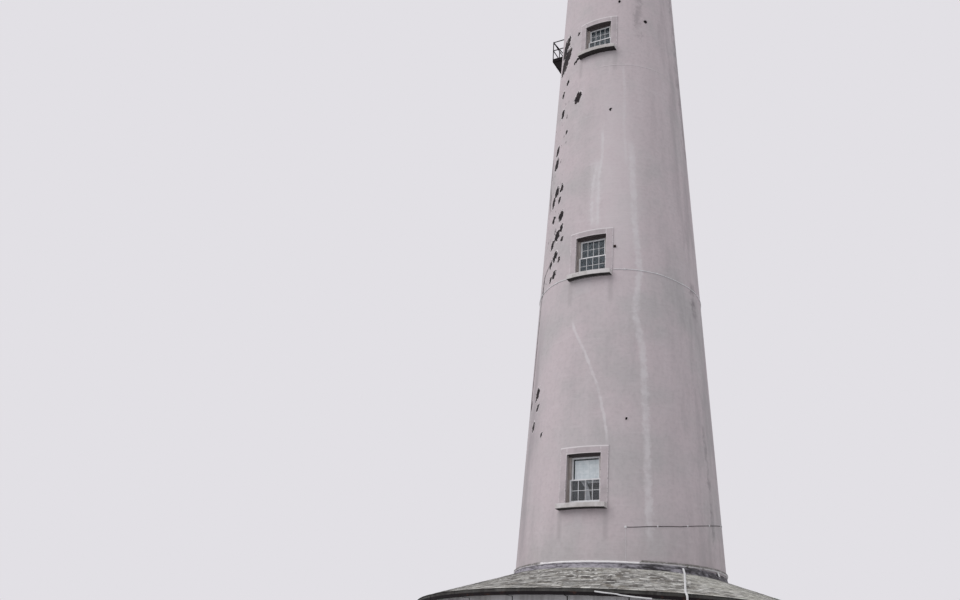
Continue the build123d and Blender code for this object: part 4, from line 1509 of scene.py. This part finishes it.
class LIGHTHOUSE_OT_lantern(LighthouseStep, bpy.types.Operator):
    """Makes the lantern's glazing bars, dome ribs, ball vent and the railing's ball tops"""
    bl_idname = "lighthouse.lantern"
    bl_label = "Lantern"

    def execute(self, context):
        look = context.scene.lighthouse_colours
        paint = shared(lantern_coat, look)
        iron = shared(aged_iron, look)
        dress(paint, "lantern_wall", "lantern_frame", "lantern_roof")
        dress(iron, "gallery_railing")
        bars = []
        for level in (LANTERN_FOOT + 2.56, LANTERN_FOOT + 3.23):
            cross = block("lantern_bars", (-0.40, 0.40), (-1.560, -1.526), (level - 0.014, level + 0.014))
            bars.append(soften_front(cross, BAR_BEVEL, -1.559))
        placed(copies(join("lantern_bars", bars), all_round(LANTERN_SIDES)), paint)
        placed(dome_ribs(), paint)
        placed(ball_vent(), paint, ["roof_vent"])
        knob = ball("gallery_knobs", (0, -2.74, LANTERN_FOOT + 1.06), 0.036, 12, 8)
        placed(smooth(copies(knob, all_round(20, 9.0)), 60), iron)
        return {"FINISHED"}


class LIGHTHOUSE_OT_low_walls(LighthouseStep, bpy.types.Operator):
    """Paints the ring building's walls"""
    bl_idname = "lighthouse.low_walls"
    bl_label = "Low walls"

    def execute(self, context):
        sides = ("front", "front_right", "back_right", "back", "back_left", "front_left")
        dress(low_wall_coat(context.scene.lighthouse_colours), *[f"annex_wall_{side}" for side in sides])
        return {"FINISHED"}


class LIGHTHOUSE_OT_stage(LighthouseStep, bpy.types.Operator):
    """Sets up the plain floor, the even light and the camera at the photograph's place"""
    bl_idname = "lighthouse.stage"
    bl_label = "Stage"

    def execute(self, context):
        stage = context.scene.lighthouse_stage
        deselect()
        bpy.ops.mesh.primitive_plane_add(size=900.0, location=(0, 0, 0))
        ground = settle("studio_floor")
        ground.data.materials.append(studio_floor(stage))
        self.light(context.scene, stage)
        self.aim(context.scene)
        return {"FINISHED"}

    @staticmethod
    def light(scene, stage):
        """Even light on the lighthouse, the backdrop's colour where the sky is seen, and a wide lamp."""
        scene.world = bpy.data.worlds.new("studio")
        studio = Tree(scene.world)
        rays = studio.node("LightPath").outputs
        seen = rays["Is Camera Ray"]
        for ray in ("Is Glossy Ray", "Is Transmission Ray"):
            seen = studio.node("Math", {"operation": "MAXIMUM"}, {0: seen, 1: rays[ray]}).outputs[0]
        even = studio.node("Background", None, {"Color": (0.97, 0.975, 1.0, 1.0), "Strength": stage.sky})
        behind = studio.node("Background", None, {"Color": Tree.flat(stage.backdrop)})
        mix = studio.node("MixShader", None, {0: seen, 1: even.outputs[0], 2: behind.outputs[0]})
        studio.node("OutputWorld", None, {0: mix.outputs[0]})
        lamp = bpy.data.lights.new("soft_sun", "SUN")
        lamp.energy = stage.sun
        lamp.angle = math.radians(50)
        lamp.color = (1.0, 0.975, 0.96)
        sun = bpy.data.objects.new("soft_sun", lamp)
        scene.collection.objects.link(sun)
        sun.visible_glossy = False
        sun.rotation_mode = "QUATERNION"
        sun.rotation_quaternion = (-on_wall(-38, 1.0, 0.85)).to_track_quat("-Z", "Y")
        scene.view_settings.view_transform = "Standard"

    @staticmethod
    def aim(scene):
        """The camera fitted to the photograph."""
        eye = bpy.data.cameras.new("viewpoint")
        eye.lens = 34.52
        eye.sensor_width = 36.0
        eye.clip_start = 0.1
        eye.clip_end = 1500.0
        camera = bpy.data.objects.new("viewpoint", eye)
        scene.collection.objects.link(camera)
        camera.location = on_wall(20.2, 30.0, 0.2)
        camera.rotation_mode = "QUATERNION"
        heading = Matrix.Rotation(math.radians(29.62), 3, "Z")
        tilt = Matrix.Rotation(math.radians(90 + 24.08), 3, "X")
        roll = Matrix.Rotation(math.radians(3.81), 3, "Z")
        camera.rotation_quaternion = (heading @ tilt @ roll).to_quaternion()
        scene.camera = camera



STEPS = (
    LIGHTHOUSE_OT_stage,
    LIGHTHOUSE_OT_tower_finish,
    LIGHTHOUSE_OT_window_bars,
    LIGHTHOUSE_OT_curtain,
    LIGHTHOUSE_OT_low_walls,
    LIGHTHOUSE_OT_low_window_bars,
    LIGHTHOUSE_OT_roof_slates,
    LIGHTHOUSE_OT_roof_edges,
    LIGHTHOUSE_OT_roof_pipe,
    LIGHTHOUSE_OT_wall_fittings,
    LIGHTHOUSE_OT_balcony_fittings,
    LIGHTHOUSE_OT_doors,
    LIGHTHOUSE_OT_lantern,
)
GROUPS = {
    "lighthouse_sizes": LighthouseSizes,
    "lighthouse_colours": LighthouseColours,
    "lighthouse_stage": LighthouseStage,
}


class LIGHTHOUSE_PT_panel(bpy.types.Panel):
    """Lists the lighthouse's sizes, colours and steps"""
    bl_idname = "LIGHTHOUSE_PT_panel"
    bl_label = "Lighthouse"
    bl_space_type = "VIEW_3D"
    bl_region_type = "UI"
    bl_category = "Lighthouse"

    def draw(self, context):
        layout = self.layout
        for group, kind in GROUPS.items():
            box = layout.box()
            for entry in kind.__annotations__:
                box.prop(getattr(context.scene, group), entry)
        for step in STEPS:
            layout.operator(step.bl_idname)


def register():
    for kind in (*GROUPS.values(), *STEPS, LIGHTHOUSE_PT_panel):
        bpy.utils.register_class(kind)
    for name, kind in GROUPS.items():
        setattr(bpy.types.Scene, name, PointerProperty(type=kind))


def unregister():
    for name in GROUPS:
        delattr(bpy.types.Scene, name)
    for kind in reversed((*GROUPS.values(), *STEPS, LIGHTHOUSE_PT_panel)):
        bpy.utils.unregister_class(kind)


def main():
    register()
    for step in STEPS:
        section, name = step.bl_idname.split(".")
        getattr(getattr(bpy.ops, section), name)()


if __name__ == "__main__":
    main()
